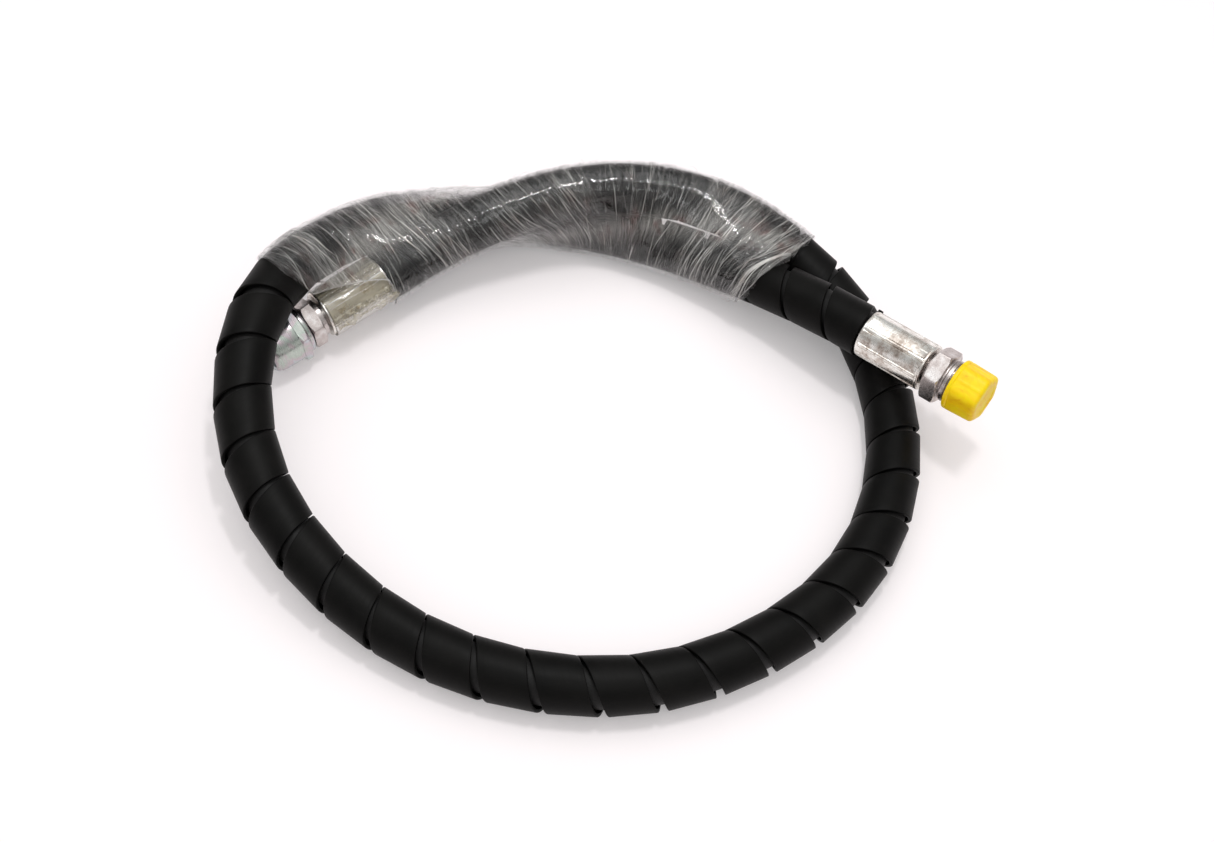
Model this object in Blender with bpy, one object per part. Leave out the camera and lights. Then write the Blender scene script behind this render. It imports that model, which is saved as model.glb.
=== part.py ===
"""Hydraulic hose assembly, coiled in one loop and tied with clear film.

A two-braid hose in a spiral guard.  The left end has a swivel nut over a 24 degree
cone, the right end a threaded male insert under a plastic cap.

Sizes below are in millimetres and become metres where the meshes are made.  The model
stands on z = 0, and its origin is the middle of the loop on that surface.  Along the
hose, places are measured from the tip of the swivel nut.  On a fitting, they are
measured outwards along its axis from the outer end of its ferrule.
"""
from math import cos, pi, radians, sin, tan

import bmesh
import bpy
import numpy as np
from mathutils import Matrix, Vector

MM = 0.001

# Route of the hose's centre line, from the tip of the nut to the tip of the cap.  It is
# straight between the first two points and between the last two.
ROUTE = (
    (-187.7, 12.1, 18), (-121, 84, 27.3),
    (-86, 110, 37.2), (-44, 132.5, 44), (1, 147, 42.6), (47, 147.5, 35), (89, 131, 25.5),
    (125, 100.5, 17), (147, 56, 13.7), (153, 10, 13.7), (146, -36, 13.7), (123, -80, 13.7),
    (87, -115, 13.7), (44, -139, 13.7), (-5, -149, 13.7), (-54, -145, 13.7), (-99, -129, 16),
    (-138, -104, 24), (-169, -69, 34.2), (-184.5, -30, 43), (-187.3, 8, 50.3), (-178.8, 45, 48.4),
    (-163.5, 77.5, 38), (-142.5, 105.5, 27), (-112, 125, 18.7), (-77, 134.5, 15.4),
    (-41, 137.5, 15.3), (-1, 134.5, 16), (45, 120, 21.5), (85, 99, 31),
    (121, 76, 39.8), (192, 29, 51),
)

# Hose: radii of its layers, from the bore to the cover, with a gap between layers.
BORE_RADIUS = 6.35
INNER_TUBE_WALL = 1.2
BRAID_WALL = 0.6
SEPARATION_WALL = 0.35
COVER_WALL = 0.85
LAYER_GAP = 0.3
HOSE_SIDES = 8
HOSE_RINGS = 47
HOSE_END_GAP = 0.4

# Spiral guard: a flat strip wound round the hose.
GUARD_INNER_RADIUS = 12.4
GUARD_OUTER_RADIUS = 14.2
GUARD_PITCH = 27.0
GUARD_STRIP_WIDTH = 24.4
GUARD_LEAST_SLOT = 0.7
GUARD_STEPS = 14
GUARD_END_GAP = 0.4
GUARD_LEAST_END = 3.0

# Crimped ferrules.
FERRULE_LENGTH = 40.0
FERRULE_INNER_RADIUS = 11.6
FERRULE_CRIMP_RADIUS = 12.95
FERRULE_LIP_RADIUS = 13.4
FERRULE_LIP_LENGTH = 3.0
FERRULE_RIDGE_HEIGHT = 0.35
FERRULE_RIDGE_WIDTH = 1.4
FERRULE_CORNER = 0.7
FERRULE_DIES = 8
COLLAR_LENGTH = 2.6

# Both inserts: the barbed tail in the hose.
FIT_GAP = 0.3
TAIL_LENGTH = 36.0
TAIL_RADIUS = 5.2
BARB_HEIGHT = 0.35
BARB_PITCH = 7.5
BARB_LEAD = 1.0
BARBS = 4
INSERT_BORE_RADIUS = 4.3
GROOVE_RADIUS = 7.6
SHOULDER_RADIUS = 9.6
SHOULDER_LENGTH = 2.0

# Left insert and its swivel nut.
LEFT_TIP = 36.4
LEFT_NECK_START = 1.2
LEFT_NECK_RADIUS = 11.0
LEFT_HEX_START = 4.0
LEFT_HEX_END = 11.3
LEFT_HEX_FLATS = 25.0
STEM_RADIUS = 8.5
CONE_ANGLE = 24.0
CONE_BASE = 20.4
CONE_BASE_RADIUS = 9.7
CONE_END = 30.0
RETAINER_START = 17.6
RETAINER_RADIUS = 10.7
O_RING_PLACE = 24.0
O_RING_GROOVE = 2.4
O_RING_GROOVE_DEPTH = 1.3
O_RING_WIRE_RADIUS = 0.75
O_RING_SIDES = 8
NUT_START = 11.9
NUT_COLLAR_END = 14.8
NUT_COLLAR_RADIUS = 14.2
NUT_HEX_END = 19.6
NUT_FLATS = 30.0
NUT_FRONT_RADIUS = 15.3
NUT_TIP_RADIUS = 14.2
NUT_TIP_TAPER = 3.0
NUT_THREAD_RADIUS = 11.4
NUT_CHAMFER = 1.0

# Right insert and its cap.
RIGHT_TIP = 34.3
RIGHT_NECK_START = 0.6
RIGHT_NECK_RADIUS = 10.2
RIGHT_HEX_START = 2.4
RIGHT_HEX_END = 11.2
RIGHT_HEX_FLATS = 27.0
THREAD_RADIUS = 11.9
THREAD_END = 28.0
THREAD_CHAMFER = 1.0
CONE_MOUTH_RADIUS = 9.0
HEX_CHAMFER = 0.9
CAP_START = 16.2
CAP_RIM_RADIUS = 14.1
CAP_RIM_END = 18.6
CAP_FLATS = 26.6
CAP_END_FLATS = 25.4
CAP_BODY_END = 32.6
CAP_END_WALL = 1.6
CAP_CHAMFER = 1.7
ROUND_SIDES = 24
INSERT_SIDES = 18

# Clear film round the two runs of hose, and clear tape round the left ferrule.
FILM_THICKNESS = 0.5
FILM_CLEARANCE = 1.9
FILM_START = 56.0
FILM_END = 345.0
FILM_STATIONS = 20
FILM_POINTS = 20
FILM_PULLS = 20
FILM_PULL_AROUND = 0.35
FILM_PULL_ALONG = 0.6
TAPE_THICKNESS = 0.4
TAPE_START = 2.0 - FERRULE_LENGTH
TAPE_END = -1.5
TAPE_SIDES = 24


# ---------------------------------------------------------------- materials
def material(name, colour, roughness, metallic=0.0, alpha=1.0):
    """A plain surface of one colour."""
    made = bpy.data.materials.new(name)
    made.use_nodes = True
    shader = made.node_tree.nodes["Principled BSDF"]
    shader.inputs["Base Color"].default_value = (*colour, 1.0)
    shader.inputs["Roughness"].default_value = roughness
    shader.inputs["Metallic"].default_value = metallic
    shader.inputs["Alpha"].default_value = alpha
    made.diffuse_color = (*colour, alpha)
    return made


# ---------------------------------------------------------------- route
class Route:
    """The hose's centre line, read by length along it."""

    SAMPLES = 6000

    def __init__(self, points):
        points = np.array(points, float)
        curve = points[1:-1]
        first = unit(points[1] - points[0])
        last = unit(points[-1] - points[-2])
        chord = np.r_[0.0, np.cumsum(np.linalg.norm(np.diff(curve, axis=0), axis=1))]
        slopes = spline_slopes(chord, curve, first, last)
        at = np.linspace(0.0, chord[-1], self.SAMPLES)
        middle = hermite(chord, curve, slopes, at)
        self.points = np.vstack([points[:1], middle, points[-1:]])
        steps = np.linalg.norm(np.diff(self.points, axis=0), axis=1)
        self.lengths = np.r_[0.0, np.cumsum(steps)]
        self.total = self.lengths[-1]

    def at(self, length):
        """The point at a length, or the points at an array of lengths."""
        length = np.asarray(length, float)
        return np.stack([np.interp(length, self.lengths, self.points[:, k]) for k in range(3)], -1)

    def frame(self, length):
        """Point, direction, downward normal and sideways normal at a length."""
        reach = 0.5
        ahead = self.at(min(length + reach, self.total))
        behind = self.at(max(length - reach, 0.0))
        along = unit(ahead - behind)
        side = unit(np.cross(along, (0.0, 0.0, -1.0)))
        down = np.cross(side, along)
        return self.at(length), along, down, side

    def bend(self, length, reach=12.0):
        """The curvature vector, which points to the inside of the bend."""
        length = min(max(length, reach), self.total - reach)
        before, here, after = self.at(length - reach), self.at(length), self.at(length + reach)
        return (before + after - 2.0 * here) / reach ** 2


def unit(vector):
    vector = np.asarray(vector, float)
    return vector / np.linalg.norm(vector, axis=-1, keepdims=True)


def spline_slopes(chord, points, first, last):
    """Slopes of the smooth curve through the points, with its two end directions given."""
    count = len(points)
    matrix = np.eye(count)
    right = np.zeros((count, 3))
    right[0], right[-1] = first, last
    for k in range(1, count - 1):
        before, after = chord[k] - chord[k - 1], chord[k + 1] - chord[k]
        matrix[k, k - 1:k + 2] = (1.0 / before, 2.0 / before + 2.0 / after, 1.0 / after)
        right[k] = 3.0 * ((points[k] - points[k - 1]) / before ** 2 + (points[k + 1] - points[k]) / after ** 2)
    return np.linalg.solve(matrix, right)


def hermite(chord, points, slopes, at):
    """Points of the curve at the given chord lengths."""
    k = np.clip(np.searchsorted(chord, at, side="right") - 1, 0, len(points) - 2)
    span = (chord[k + 1] - chord[k])[:, None]
    t = (at - chord[k])[:, None] / span
    return (
        (2 * t ** 3 - 3 * t ** 2 + 1) * points[k] + (t ** 3 - 2 * t ** 2 + t) * span * slopes[k]
        + (3 * t ** 2 - 2 * t ** 3) * points[k + 1] + (t ** 3 - t ** 2) * span * slopes[k + 1]
    )


# ---------------------------------------------------------------- meshes
def add_object(name, vertices, faces, look, parent=None, smooth_angle=35.0):
    """One closed mesh object.  Vertices are in millimetres."""
    mesh = bpy.data.meshes.new(name)
    work = bmesh.new()
    made = [work.verts.new([c * MM for c in v]) for v in vertices]
    for face in faces:
        work.faces.new([made[i] for i in face])
    bmesh.ops.recalc_face_normals(work, faces=work.faces)
    work.to_mesh(mesh)
    work.free()
    mesh.materials.append(look)
    mesh.shade_smooth()
    mesh.set_sharp_from_angle(angle=radians(smooth_angle))
    made_object = bpy.data.objects.new(name, mesh)
    bpy.context.collection.objects.link(made_object)
    made_object.parent = parent
    return made_object


def skin(rows, closed_rows):
    """Faces between rows of points.  A row of one point is a pole."""
    vertices, starts = [], []
    for row in rows:
        starts.append(len(vertices))
        vertices.extend(row)
    faces = []
    pairs = list(zip(range(len(rows)), range(1, len(rows))))
    if closed_rows:
        pairs.append((len(rows) - 1, 0))
    for a, b in pairs:
        count = max(len(rows[a]), len(rows[b]))
        for k in range(count):
            n = (k + 1) % count
            if len(rows[a]) == 1 and len(rows[b]) == 1:
                break
            if len(rows[a]) == 1:
                faces.append((starts[a], starts[b] + n, starts[b] + k))
            elif len(rows[b]) == 1:
                faces.append((starts[a] + k, starts[a] + n, starts[b]))
            else:
                faces.append((starts[a] + k, starts[a] + n, starts[b] + n, starts[b] + k))
    return vertices, faces


def turned(name, profile, sides, look, parent):
    """A piece turned about its parent's Z axis.

    The profile is a closed list of (place along the axis, radius).  A radius is a number or
    a function of the angle, and 0 makes a pole on the axis.
    """
    rows = []
    for place, radius in profile:
        if radius == 0:
            rows.append([(0.0, 0.0, place)])
            continue
        row = []
        for k in range(sides):
            angle = 2.0 * pi * k / sides
            r = radius(angle) if callable(radius) else radius
            row.append((r * cos(angle), r * sin(angle), place))
        rows.append(row)
    return add_object(name, *skin(rows, closed_rows=True), look, parent)


def hexagon(flats, chamfered=None):
    """Radius of a hexagon by angle, with its corners turned down to a radius."""
    def radius(angle):
        from_flat = angle % (pi / 3) - pi / 6
        at = flats / 2.0 / cos(from_flat)
        return min(at, chamfered) if chamfered else at
    return radius


def hex_section(start, end, flats):
    """Profile rows of a hexagon with chamfered corners."""
    chamfered = flats / 2.0 / cos(pi / 6) - HEX_CHAMFER
    depth = HEX_CHAMFER * tan(radians(30.0))
    return [
        (start, hexagon(flats, chamfered)),
        (start + depth, hexagon(flats)),
        (end - depth, hexagon(flats)),
        (end, hexagon(flats, chamfered)),
    ]


# ---------------------------------------------------------------- hose
def hose_tube(name, route, inner, outer, start, end, look):
    """One layer of the hose: rings of points, shifted so that each chord straddles the curve."""
    places = np.linspace(start, end, HOSE_RINGS)
    spacing = places[1] - places[0]
    straight = FERRULE_LENGTH
    rings = {inner: [], outer: []}
    for place in places:
        point, along, down, side = route.frame(place)
        if start + straight < place < end - straight:
            point = point - route.bend(place) * spacing ** 2 / 16.0
        for radius, ring in rings.items():
            ring.append([
                point + radius * (cos(angle) * down + sin(angle) * side)
                for angle in (2.0 * pi * (k + 0.5) / HOSE_SIDES for k in range(HOSE_SIDES))
            ])
    rows = rings[outer] + rings[inner][::-1]
    return add_object(name, *skin(rows, closed_rows=True), look)


def hose_layers():
    """Names and radii of the layers, from the bore outwards."""
    walls = (
        ("inner_tube", INNER_TUBE_WALL),
        ("inner_wire_braid", BRAID_WALL),
        ("separation_layer", SEPARATION_WALL),
        ("outer_wire_braid", BRAID_WALL),
        ("outer_cover", COVER_WALL),
    )
    layers, inner = [], BORE_RADIUS
    for name, wall in walls:
        layers.append((name, inner, inner + wall))
        inner += wall + LAYER_GAP
    return layers


# ---------------------------------------------------------------- spiral guard
class Guard:
    """The strip's edges by step.  A step is a fraction of a turn."""

    def __init__(self, route, start, end):
        self.route, self.start, self.end = route, start, end
        self.steps = []
        count = int((end - start + GUARD_PITCH) / GUARD_PITCH * GUARD_STEPS)
        for step in range(count):
            middle = start - GUARD_PITCH / 2.0 + GUARD_PITCH * step / GUARD_STEPS
            angle = 2.0 * pi * (step + 0.5) / GUARD_STEPS
            low, high = self.edges(middle, angle)
            if high - low >= GUARD_LEAST_END:
                self.steps.append((low, high, angle, self.flare(middle, angle, high - low)))

    def outward_bend(self, middle, angle):
        """Curvature of the hose on one side of it, positive on the outside of a bend."""
        place = min(max(middle, self.start), self.end)
        _, _, down, side = self.route.frame(place)
        outwards = cos(angle) * down + sin(angle) * side
        return -float(np.dot(self.route.bend(place), outwards))

    def flare(self, middle, angle, width):
        """How far the strip's edges stand off on the outside of a bend, as it stays straight."""
        return max(self.outward_bend(middle, angle), 0.0) * width ** 2 / 8.0

    def edges(self, middle, angle):
        """Where the strip begins and ends along the hose, at one angle round it."""
        stretch = 1.0 + GUARD_OUTER_RADIUS * self.outward_bend(middle, angle)
        width = min(GUARD_STRIP_WIDTH / stretch, GUARD_PITCH - GUARD_LEAST_SLOT / stretch)
        return max(middle - width / 2.0, self.start), min(middle + width / 2.0, self.end)

    def point(self, place, angle, radius):
        point, _, down, side = self.route.frame(place)
        made = point + radius * (cos(angle) * down + sin(angle) * side)
        made[2] = max(made[2], 0.0)
        return made

    def least_slot(self):
        """Least distance between one turn's edge and the next turn's."""
        least = 1e9
        for this, later in zip(self.steps, self.steps[GUARD_STEPS:]):
            for radius in (GUARD_INNER_RADIUS, GUARD_OUTER_RADIUS):
                far = self.point(this[1], this[2], radius + this[3])
                near = self.point(later[0], later[2], radius + later[3])
                least = min(least, float(np.linalg.norm(far - near)))
        return least

    def build(self, look):
        rows = []
        for low, high, angle, flare in self.steps:
            inner, outer = GUARD_INNER_RADIUS + flare, GUARD_OUTER_RADIUS + flare
            rows.append([
                self.point(low, angle, inner), self.point(high, angle, inner),
                self.point(high, angle, outer), self.point(low, angle, outer),
            ])
        vertices, faces = skin(rows, closed_rows=False)
        last = len(vertices) - 4
        faces.append((0, 1, 2, 3))
        faces.append((last, last + 1, last + 2, last + 3))
        return add_object("spiral_guard", vertices, faces, look)


def least_run_gap(route):
    """Least gap between the two runs of guarded hose where they pass each other."""
    places = np.arange(FERRULE_LENGTH + LEFT_TIP, route.total - FERRULE_LENGTH - RIGHT_TIP, 4.0)
    points = route.at(places)
    apart = np.linalg.norm(points[:, None] - points[None], axis=2)
    apart[np.abs(places[:, None] - places[None]) < 200.0] = 1e9
    return float(apart.min()) - 2.0 * GUARD_OUTER_RADIUS


# ---------------------------------------------------------------- fittings
def fitting_axis(name, route, place, outwards):
    """An empty at a ferrule's outer end, with its Z axis outwards along the fitting."""
    point, along, down, side = route.frame(place)
    along = along * outwards
    across = np.cross(along, down)
    empty = bpy.data.objects.new(name, None)
    bpy.context.collection.objects.link(empty)
    turn = Matrix((down, across, along)).transposed()
    empty.matrix_world = Matrix.Translation(Vector(point) * MM) @ turn.to_4x4()
    return empty


def crimped(radius):
    """Radius of the crimped length by angle: flats with a narrow raised line between."""
    def at(angle):
        from_line = (angle + pi / FERRULE_DIES) % (2.0 * pi / FERRULE_DIES) - pi / FERRULE_DIES
        raised = abs(from_line) * radius < FERRULE_RIDGE_WIDTH
        return radius + (FERRULE_RIDGE_HEIGHT if raised else 0.0)
    return at


def ferrule(name, look, parent):
    """Sleeve crimped over the hose, with an inward collar that seats in the insert's groove."""
    crimp_start = -FERRULE_LENGTH + FERRULE_LIP_LENGTH
    crimp_end = -FERRULE_LIP_LENGTH
    collar_radius = GROOVE_RADIUS + FIT_GAP
    profile = [
        (-FERRULE_LENGTH, FERRULE_LIP_RADIUS - FERRULE_CORNER),
        (-FERRULE_LENGTH + FERRULE_CORNER, FERRULE_LIP_RADIUS),
        (crimp_start - FERRULE_CORNER, FERRULE_LIP_RADIUS),
        (crimp_start, crimped(FERRULE_CRIMP_RADIUS)),
        (crimp_end, crimped(FERRULE_CRIMP_RADIUS)),
        (crimp_end + FERRULE_CORNER, FERRULE_LIP_RADIUS),
        (-FERRULE_CORNER, FERRULE_LIP_RADIUS),
        (0.0, FERRULE_LIP_RADIUS - FERRULE_CORNER),
        (0.0, collar_radius),
        (-COLLAR_LENGTH, collar_radius),
        (-COLLAR_LENGTH, FERRULE_INNER_RADIUS),
        (-FERRULE_LENGTH, FERRULE_INNER_RADIUS),
    ]
    return turned(name, profile, FERRULE_DIES * 4, look, parent)


def barbed_tail():
    """Outer profile from the tail's tip to the shoulder inside the ferrule, and the groove."""
    shoulder_end = -COLLAR_LENGTH - FIT_GAP
    shoulder_start = shoulder_end - SHOULDER_LENGTH
    rows = [(-TAIL_LENGTH, INSERT_BORE_RADIUS + 0.3)]
    for k in range(BARBS):
        start = -TAIL_LENGTH + BARB_LEAD + k * BARB_PITCH
        rows.append((start, TAIL_RADIUS - BARB_HEIGHT))
        rows.append((start + BARB_PITCH - BARB_LEAD, TAIL_RADIUS))
    rows.append((shoulder_start, TAIL_RADIUS))
    rows.append((shoulder_start, SHOULDER_RADIUS))
    rows.append((shoulder_end, SHOULDER_RADIUS))
    rows.append((shoulder_end, GROOVE_RADIUS))
    return rows


def left_insert(look, parent):
    """Barbed tail, neck, hexagon, stem, retaining shoulder and 24 degree cone nose."""
    slope = tan(radians(CONE_ANGLE / 2.0))
    nose_radius = CONE_BASE_RADIUS - (CONE_END - CONE_BASE) * slope
    groove_start = O_RING_PLACE - O_RING_GROOVE / 2.0
    groove_end = O_RING_PLACE + O_RING_GROOVE / 2.0
    floor_radius = CONE_BASE_RADIUS - (O_RING_PLACE - CONE_BASE) * slope - O_RING_GROOVE_DEPTH
    profile = barbed_tail() + [
        (LEFT_NECK_START, GROOVE_RADIUS),
        (LEFT_NECK_START, LEFT_NECK_RADIUS),
        (LEFT_HEX_START, LEFT_NECK_RADIUS),
    ] + hex_section(LEFT_HEX_START, LEFT_HEX_END, LEFT_HEX_FLATS) + [
        (LEFT_HEX_END, STEM_RADIUS),
        (RETAINER_START, STEM_RADIUS),
        (RETAINER_START, RETAINER_RADIUS),
        (CONE_BASE, RETAINER_RADIUS),
        (CONE_BASE, CONE_BASE_RADIUS),
        (groove_start, CONE_BASE_RADIUS - (groove_start - CONE_BASE) * slope),
        (groove_start, floor_radius),
        (groove_end, floor_radius),
        (groove_end, CONE_BASE_RADIUS - (groove_end - CONE_BASE) * slope),
        (CONE_END, nose_radius),
        (CONE_END, INSERT_BORE_RADIUS + 0.6),
        (CONE_END - 0.6, INSERT_BORE_RADIUS),
        (-TAIL_LENGTH, INSERT_BORE_RADIUS),
    ]
    return turned("left_insert", profile, INSERT_SIDES, look, parent)


def cone_o_ring(look, parent):
    """O-ring in the cone's groove."""
    slope = tan(radians(CONE_ANGLE / 2.0))
    floor_radius = CONE_BASE_RADIUS - (O_RING_PLACE - CONE_BASE) * slope - O_RING_GROOVE_DEPTH
    middle_radius = floor_radius + FIT_GAP + O_RING_WIRE_RADIUS
    profile = [
        (
            O_RING_PLACE + O_RING_WIRE_RADIUS * cos(2.0 * pi * k / O_RING_SIDES),
            middle_radius + O_RING_WIRE_RADIUS * sin(2.0 * pi * k / O_RING_SIDES),
        )
        for k in range(O_RING_SIDES)
    ]
    return turned("cone_o_ring", profile, INSERT_SIDES, look, parent)


def swivel_nut(look, parent):
    """Union nut: crimped collar, hexagon, round front, bore for the stem and thread."""
    stem_bore = STEM_RADIUS + FIT_GAP
    hex_corner = NUT_FLATS / 2.0 / cos(pi / 6)
    chamfer = hex_corner - NUT_COLLAR_RADIUS
    depth = chamfer * tan(radians(30.0))
    profile = [
        (NUT_START, NUT_COLLAR_RADIUS - 1.0),
        (NUT_START + 1.0, NUT_COLLAR_RADIUS),
        (NUT_COLLAR_END, NUT_COLLAR_RADIUS),
        (NUT_COLLAR_END + depth, hexagon(NUT_FLATS)),
        (NUT_HEX_END, hexagon(NUT_FLATS)),
        (NUT_HEX_END + depth, hexagon(NUT_FLATS, NUT_FRONT_RADIUS)),
        (LEFT_TIP - NUT_TIP_TAPER, NUT_FRONT_RADIUS),
        (LEFT_TIP, NUT_TIP_RADIUS),
        (LEFT_TIP, NUT_THREAD_RADIUS + NUT_CHAMFER),
        (LEFT_TIP - NUT_CHAMFER, NUT_THREAD_RADIUS),
        (RETAINER_START - FIT_GAP, NUT_THREAD_RADIUS),
        (RETAINER_START - FIT_GAP, stem_bore),
        (NUT_START, stem_bore),
    ]
    return turned("swivel_nut", profile, ROUND_SIDES, look, parent)


def right_insert(look, parent):
    """Barbed tail, neck, hexagon, collar and threaded body with a 24 degree mouth."""
    mouth_depth = (CONE_MOUTH_RADIUS - INSERT_BORE_RADIUS) / tan(radians(CONE_ANGLE / 2.0))
    cone_depth = min(mouth_depth, THREAD_END - RIGHT_HEX_END)
    cone_floor = CONE_MOUTH_RADIUS - cone_depth * tan(radians(CONE_ANGLE / 2.0))
    profile = barbed_tail() + [
        (RIGHT_NECK_START, GROOVE_RADIUS),
        (RIGHT_NECK_START, RIGHT_NECK_RADIUS),
        (RIGHT_HEX_START, RIGHT_NECK_RADIUS),
    ] + hex_section(RIGHT_HEX_START, RIGHT_HEX_END, RIGHT_HEX_FLATS) + [
        (RIGHT_HEX_END, THREAD_RADIUS),
        (THREAD_END - THREAD_CHAMFER, THREAD_RADIUS),
        (THREAD_END, THREAD_RADIUS - THREAD_CHAMFER),
        (THREAD_END, CONE_MOUTH_RADIUS),
        (THREAD_END - cone_depth, cone_floor),
        (THREAD_END - cone_depth, INSERT_BORE_RADIUS),
        (-TAIL_LENGTH, INSERT_BORE_RADIUS),
    ]
    return turned("right_insert", profile, INSERT_SIDES, look, parent)


def protective_cap(look, parent):
    """Plastic cap: rim flange, tapering hexagon, closed end."""
    inner = THREAD_RADIUS + FIT_GAP
    end_round = CAP_END_FLATS / 2.0
    profile = [
        (CAP_START, CAP_RIM_RADIUS - 0.4),
        (CAP_START + 0.4, CAP_RIM_RADIUS),
        (CAP_RIM_END - 0.4, CAP_RIM_RADIUS),
        (CAP_RIM_END, hexagon(CAP_FLATS, CAP_RIM_RADIUS)),
        (CAP_BODY_END, hexagon(CAP_END_FLATS)),
        (RIGHT_TIP, end_round - CAP_CHAMFER),
        (RIGHT_TIP, 0),
        (RIGHT_TIP - CAP_END_WALL, 0),
        (RIGHT_TIP - CAP_END_WALL, inner - CAP_CHAMFER),
        (RIGHT_TIP - CAP_END_WALL - CAP_CHAMFER, inner),
        (CAP_START, inner),
    ]
    return turned("protective_cap", profile, ROUND_SIDES, look, parent)


def clear_tape(look, parent):
    """Clear tape wound round the left ferrule."""
    corner = cos(pi / TAPE_SIDES)
    inner = (FERRULE_LIP_RADIUS + FIT_GAP) / corner
    profile = [
        (TAPE_START, inner), (TAPE_START, inner + TAPE_THICKNESS),
        (TAPE_END, inner + TAPE_THICKNESS), (TAPE_END, inner),
    ]
    return turned("clear_tape", profile, TAPE_SIDES, look, parent)


# ---------------------------------------------------------------- film
def nearest_place(route, point, start, end):
    """Where the route passes a point most closely, between two places."""
    places = np.arange(start, end, 0.5)
    away = np.linalg.norm(route.at(places) - point, axis=1)
    return float(places[away.argmin()])


def film_outline(route, place, radius, count):
    """Outline of the film drawn straight across both runs, from its lowest point."""
    point_a, along_a, _, _ = route.frame(place)
    other = nearest_place(route, point_a, route.total / 2.0, route.total)
    point_b, along_b, _, _ = route.frame(other)
    normal = unit(along_a + along_b)
    middle = (point_a + point_b) / 2.0
    point_a = point_a + along_a * np.dot(middle - point_a, normal) / np.dot(along_a, normal)
    point_b = point_b + along_b * np.dot(middle - point_b, normal) / np.dot(along_b, normal)
    across = unit(point_b - point_a)
    over = np.cross(normal, across)
    outline = [
        centre + radius * (cos(angle) * across + sin(angle) * over)
        for centre, turn in ((point_a, pi / 2.0), (point_b, -pi / 2.0))
        for angle in turn + np.linspace(0.0, pi, count)
    ]
    outline = np.array(outline + outline[:1])
    lengths = np.r_[0.0, np.cumsum(np.linalg.norm(np.diff(outline, axis=0), axis=1))]
    lowest = lengths[outline[:-1, 2].argmin()]
    at = (lowest + lengths[-1] * np.arange(count) / count) % lengths[-1]
    return np.stack([np.interp(at, lengths, outline[:, k]) for k in range(3)], -1)


def clear_of_runs(grid, runs, radius, lowest):
    """The points moved out of both runs of hose and up from the floor."""
    points = grid.reshape(-1, 3)
    for run in runs:
        away = points[:, None] - run[None]
        distance = np.linalg.norm(away, axis=2)
        nearest = distance.argmin(1)
        rows = np.arange(len(points))
        least = distance[rows, nearest][:, None]
        outwards = away[rows, nearest] / least
        points = points + outwards * np.maximum(radius - least, 0.0)
    points[:, 2] = np.maximum(points[:, 2], lowest)
    return points.reshape(grid.shape)


def tight_film(route):
    """Inner points of the film, by station and round it.

    The film starts straight across both runs and is pulled tight a little at a time, so
    that it bridges the hollows of their bends.
    """
    half_facet = pi / FILM_POINTS * 1.6
    radius = (GUARD_OUTER_RADIUS + FILM_CLEARANCE) / cos(half_facet)
    places = np.linspace(FILM_START, FILM_END, 2 * FILM_STATIONS - 1)
    grid = np.array([film_outline(route, place, radius, 2 * FILM_POINTS) for place in places])
    middle, reach = route.total / 2.0, 2.0
    runs = [route.at(np.arange(0.0, middle, reach)), route.at(np.arange(middle, route.total, reach))]
    for _ in range(FILM_PULLS):
        around = (np.roll(grid, 1, 1) + np.roll(grid, -1, 1)) / 2.0
        lengthways = grid.copy()
        lengthways[1:-1] = (grid[2:] + grid[:-2]) / 2.0
        grid = grid + FILM_PULL_AROUND * (around - grid) + FILM_PULL_ALONG * (lengthways - grid)
        grid = clear_of_runs(grid, runs, radius, FILM_THICKNESS)
    return grid[::2, ::2]


def double_wall(outer, inner, outwards):
    """Triangles of a double-walled sleeve, whose points are listed by station and round it.

    Both walls are cut along the same diagonals, the ones that stand further out.
    """
    stations, columns = inner.shape[:2]
    number = np.arange(stations * columns).reshape(stations, columns)
    walls = (0, number.size)
    faces = []
    for s in range(stations - 1):
        for k in range(columns):
            n = (k + 1) % columns
            corners = [(s, k), (s, n), (s + 1, n), (s + 1, k)]
            bulge = inner[s, k] + inner[s + 1, n] - inner[s, n] - inner[s + 1, k]
            if np.dot(bulge, outwards[s, k]) < 0.0:
                corners = corners[1:] + corners[:1]
            for wall in walls:
                first, second, third, fourth = (int(number[c]) + wall for c in corners)
                faces += [(first, second, third), (first, third, fourth)]
    for rim in (number[0], number[-1]):
        for first, second in zip(rim.tolist(), np.roll(rim, -1).tolist()):
            faces.append((first, second, second + walls[1], first + walls[1]))
    return [*outer.reshape(-1, 3), *inner.reshape(-1, 3)], faces


def stretch_film(route, look):
    """Sleeve of clear film that holds the two runs of hose together."""
    inner = tight_film(route)
    around = np.roll(inner, -1, 1) - np.roll(inner, 1, 1)
    outwards = unit(np.cross(around, np.gradient(inner, axis=0)))
    from_middle = inner - inner.mean(1, keepdims=True)
    outwards *= np.sign((outwards * from_middle).sum())
    outer = inner + FILM_THICKNESS * outwards
    outer[..., 2] = np.maximum(outer[..., 2], 0.0)
    return add_object("stretch_film", *double_wall(outer, inner, outwards), look)


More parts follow.
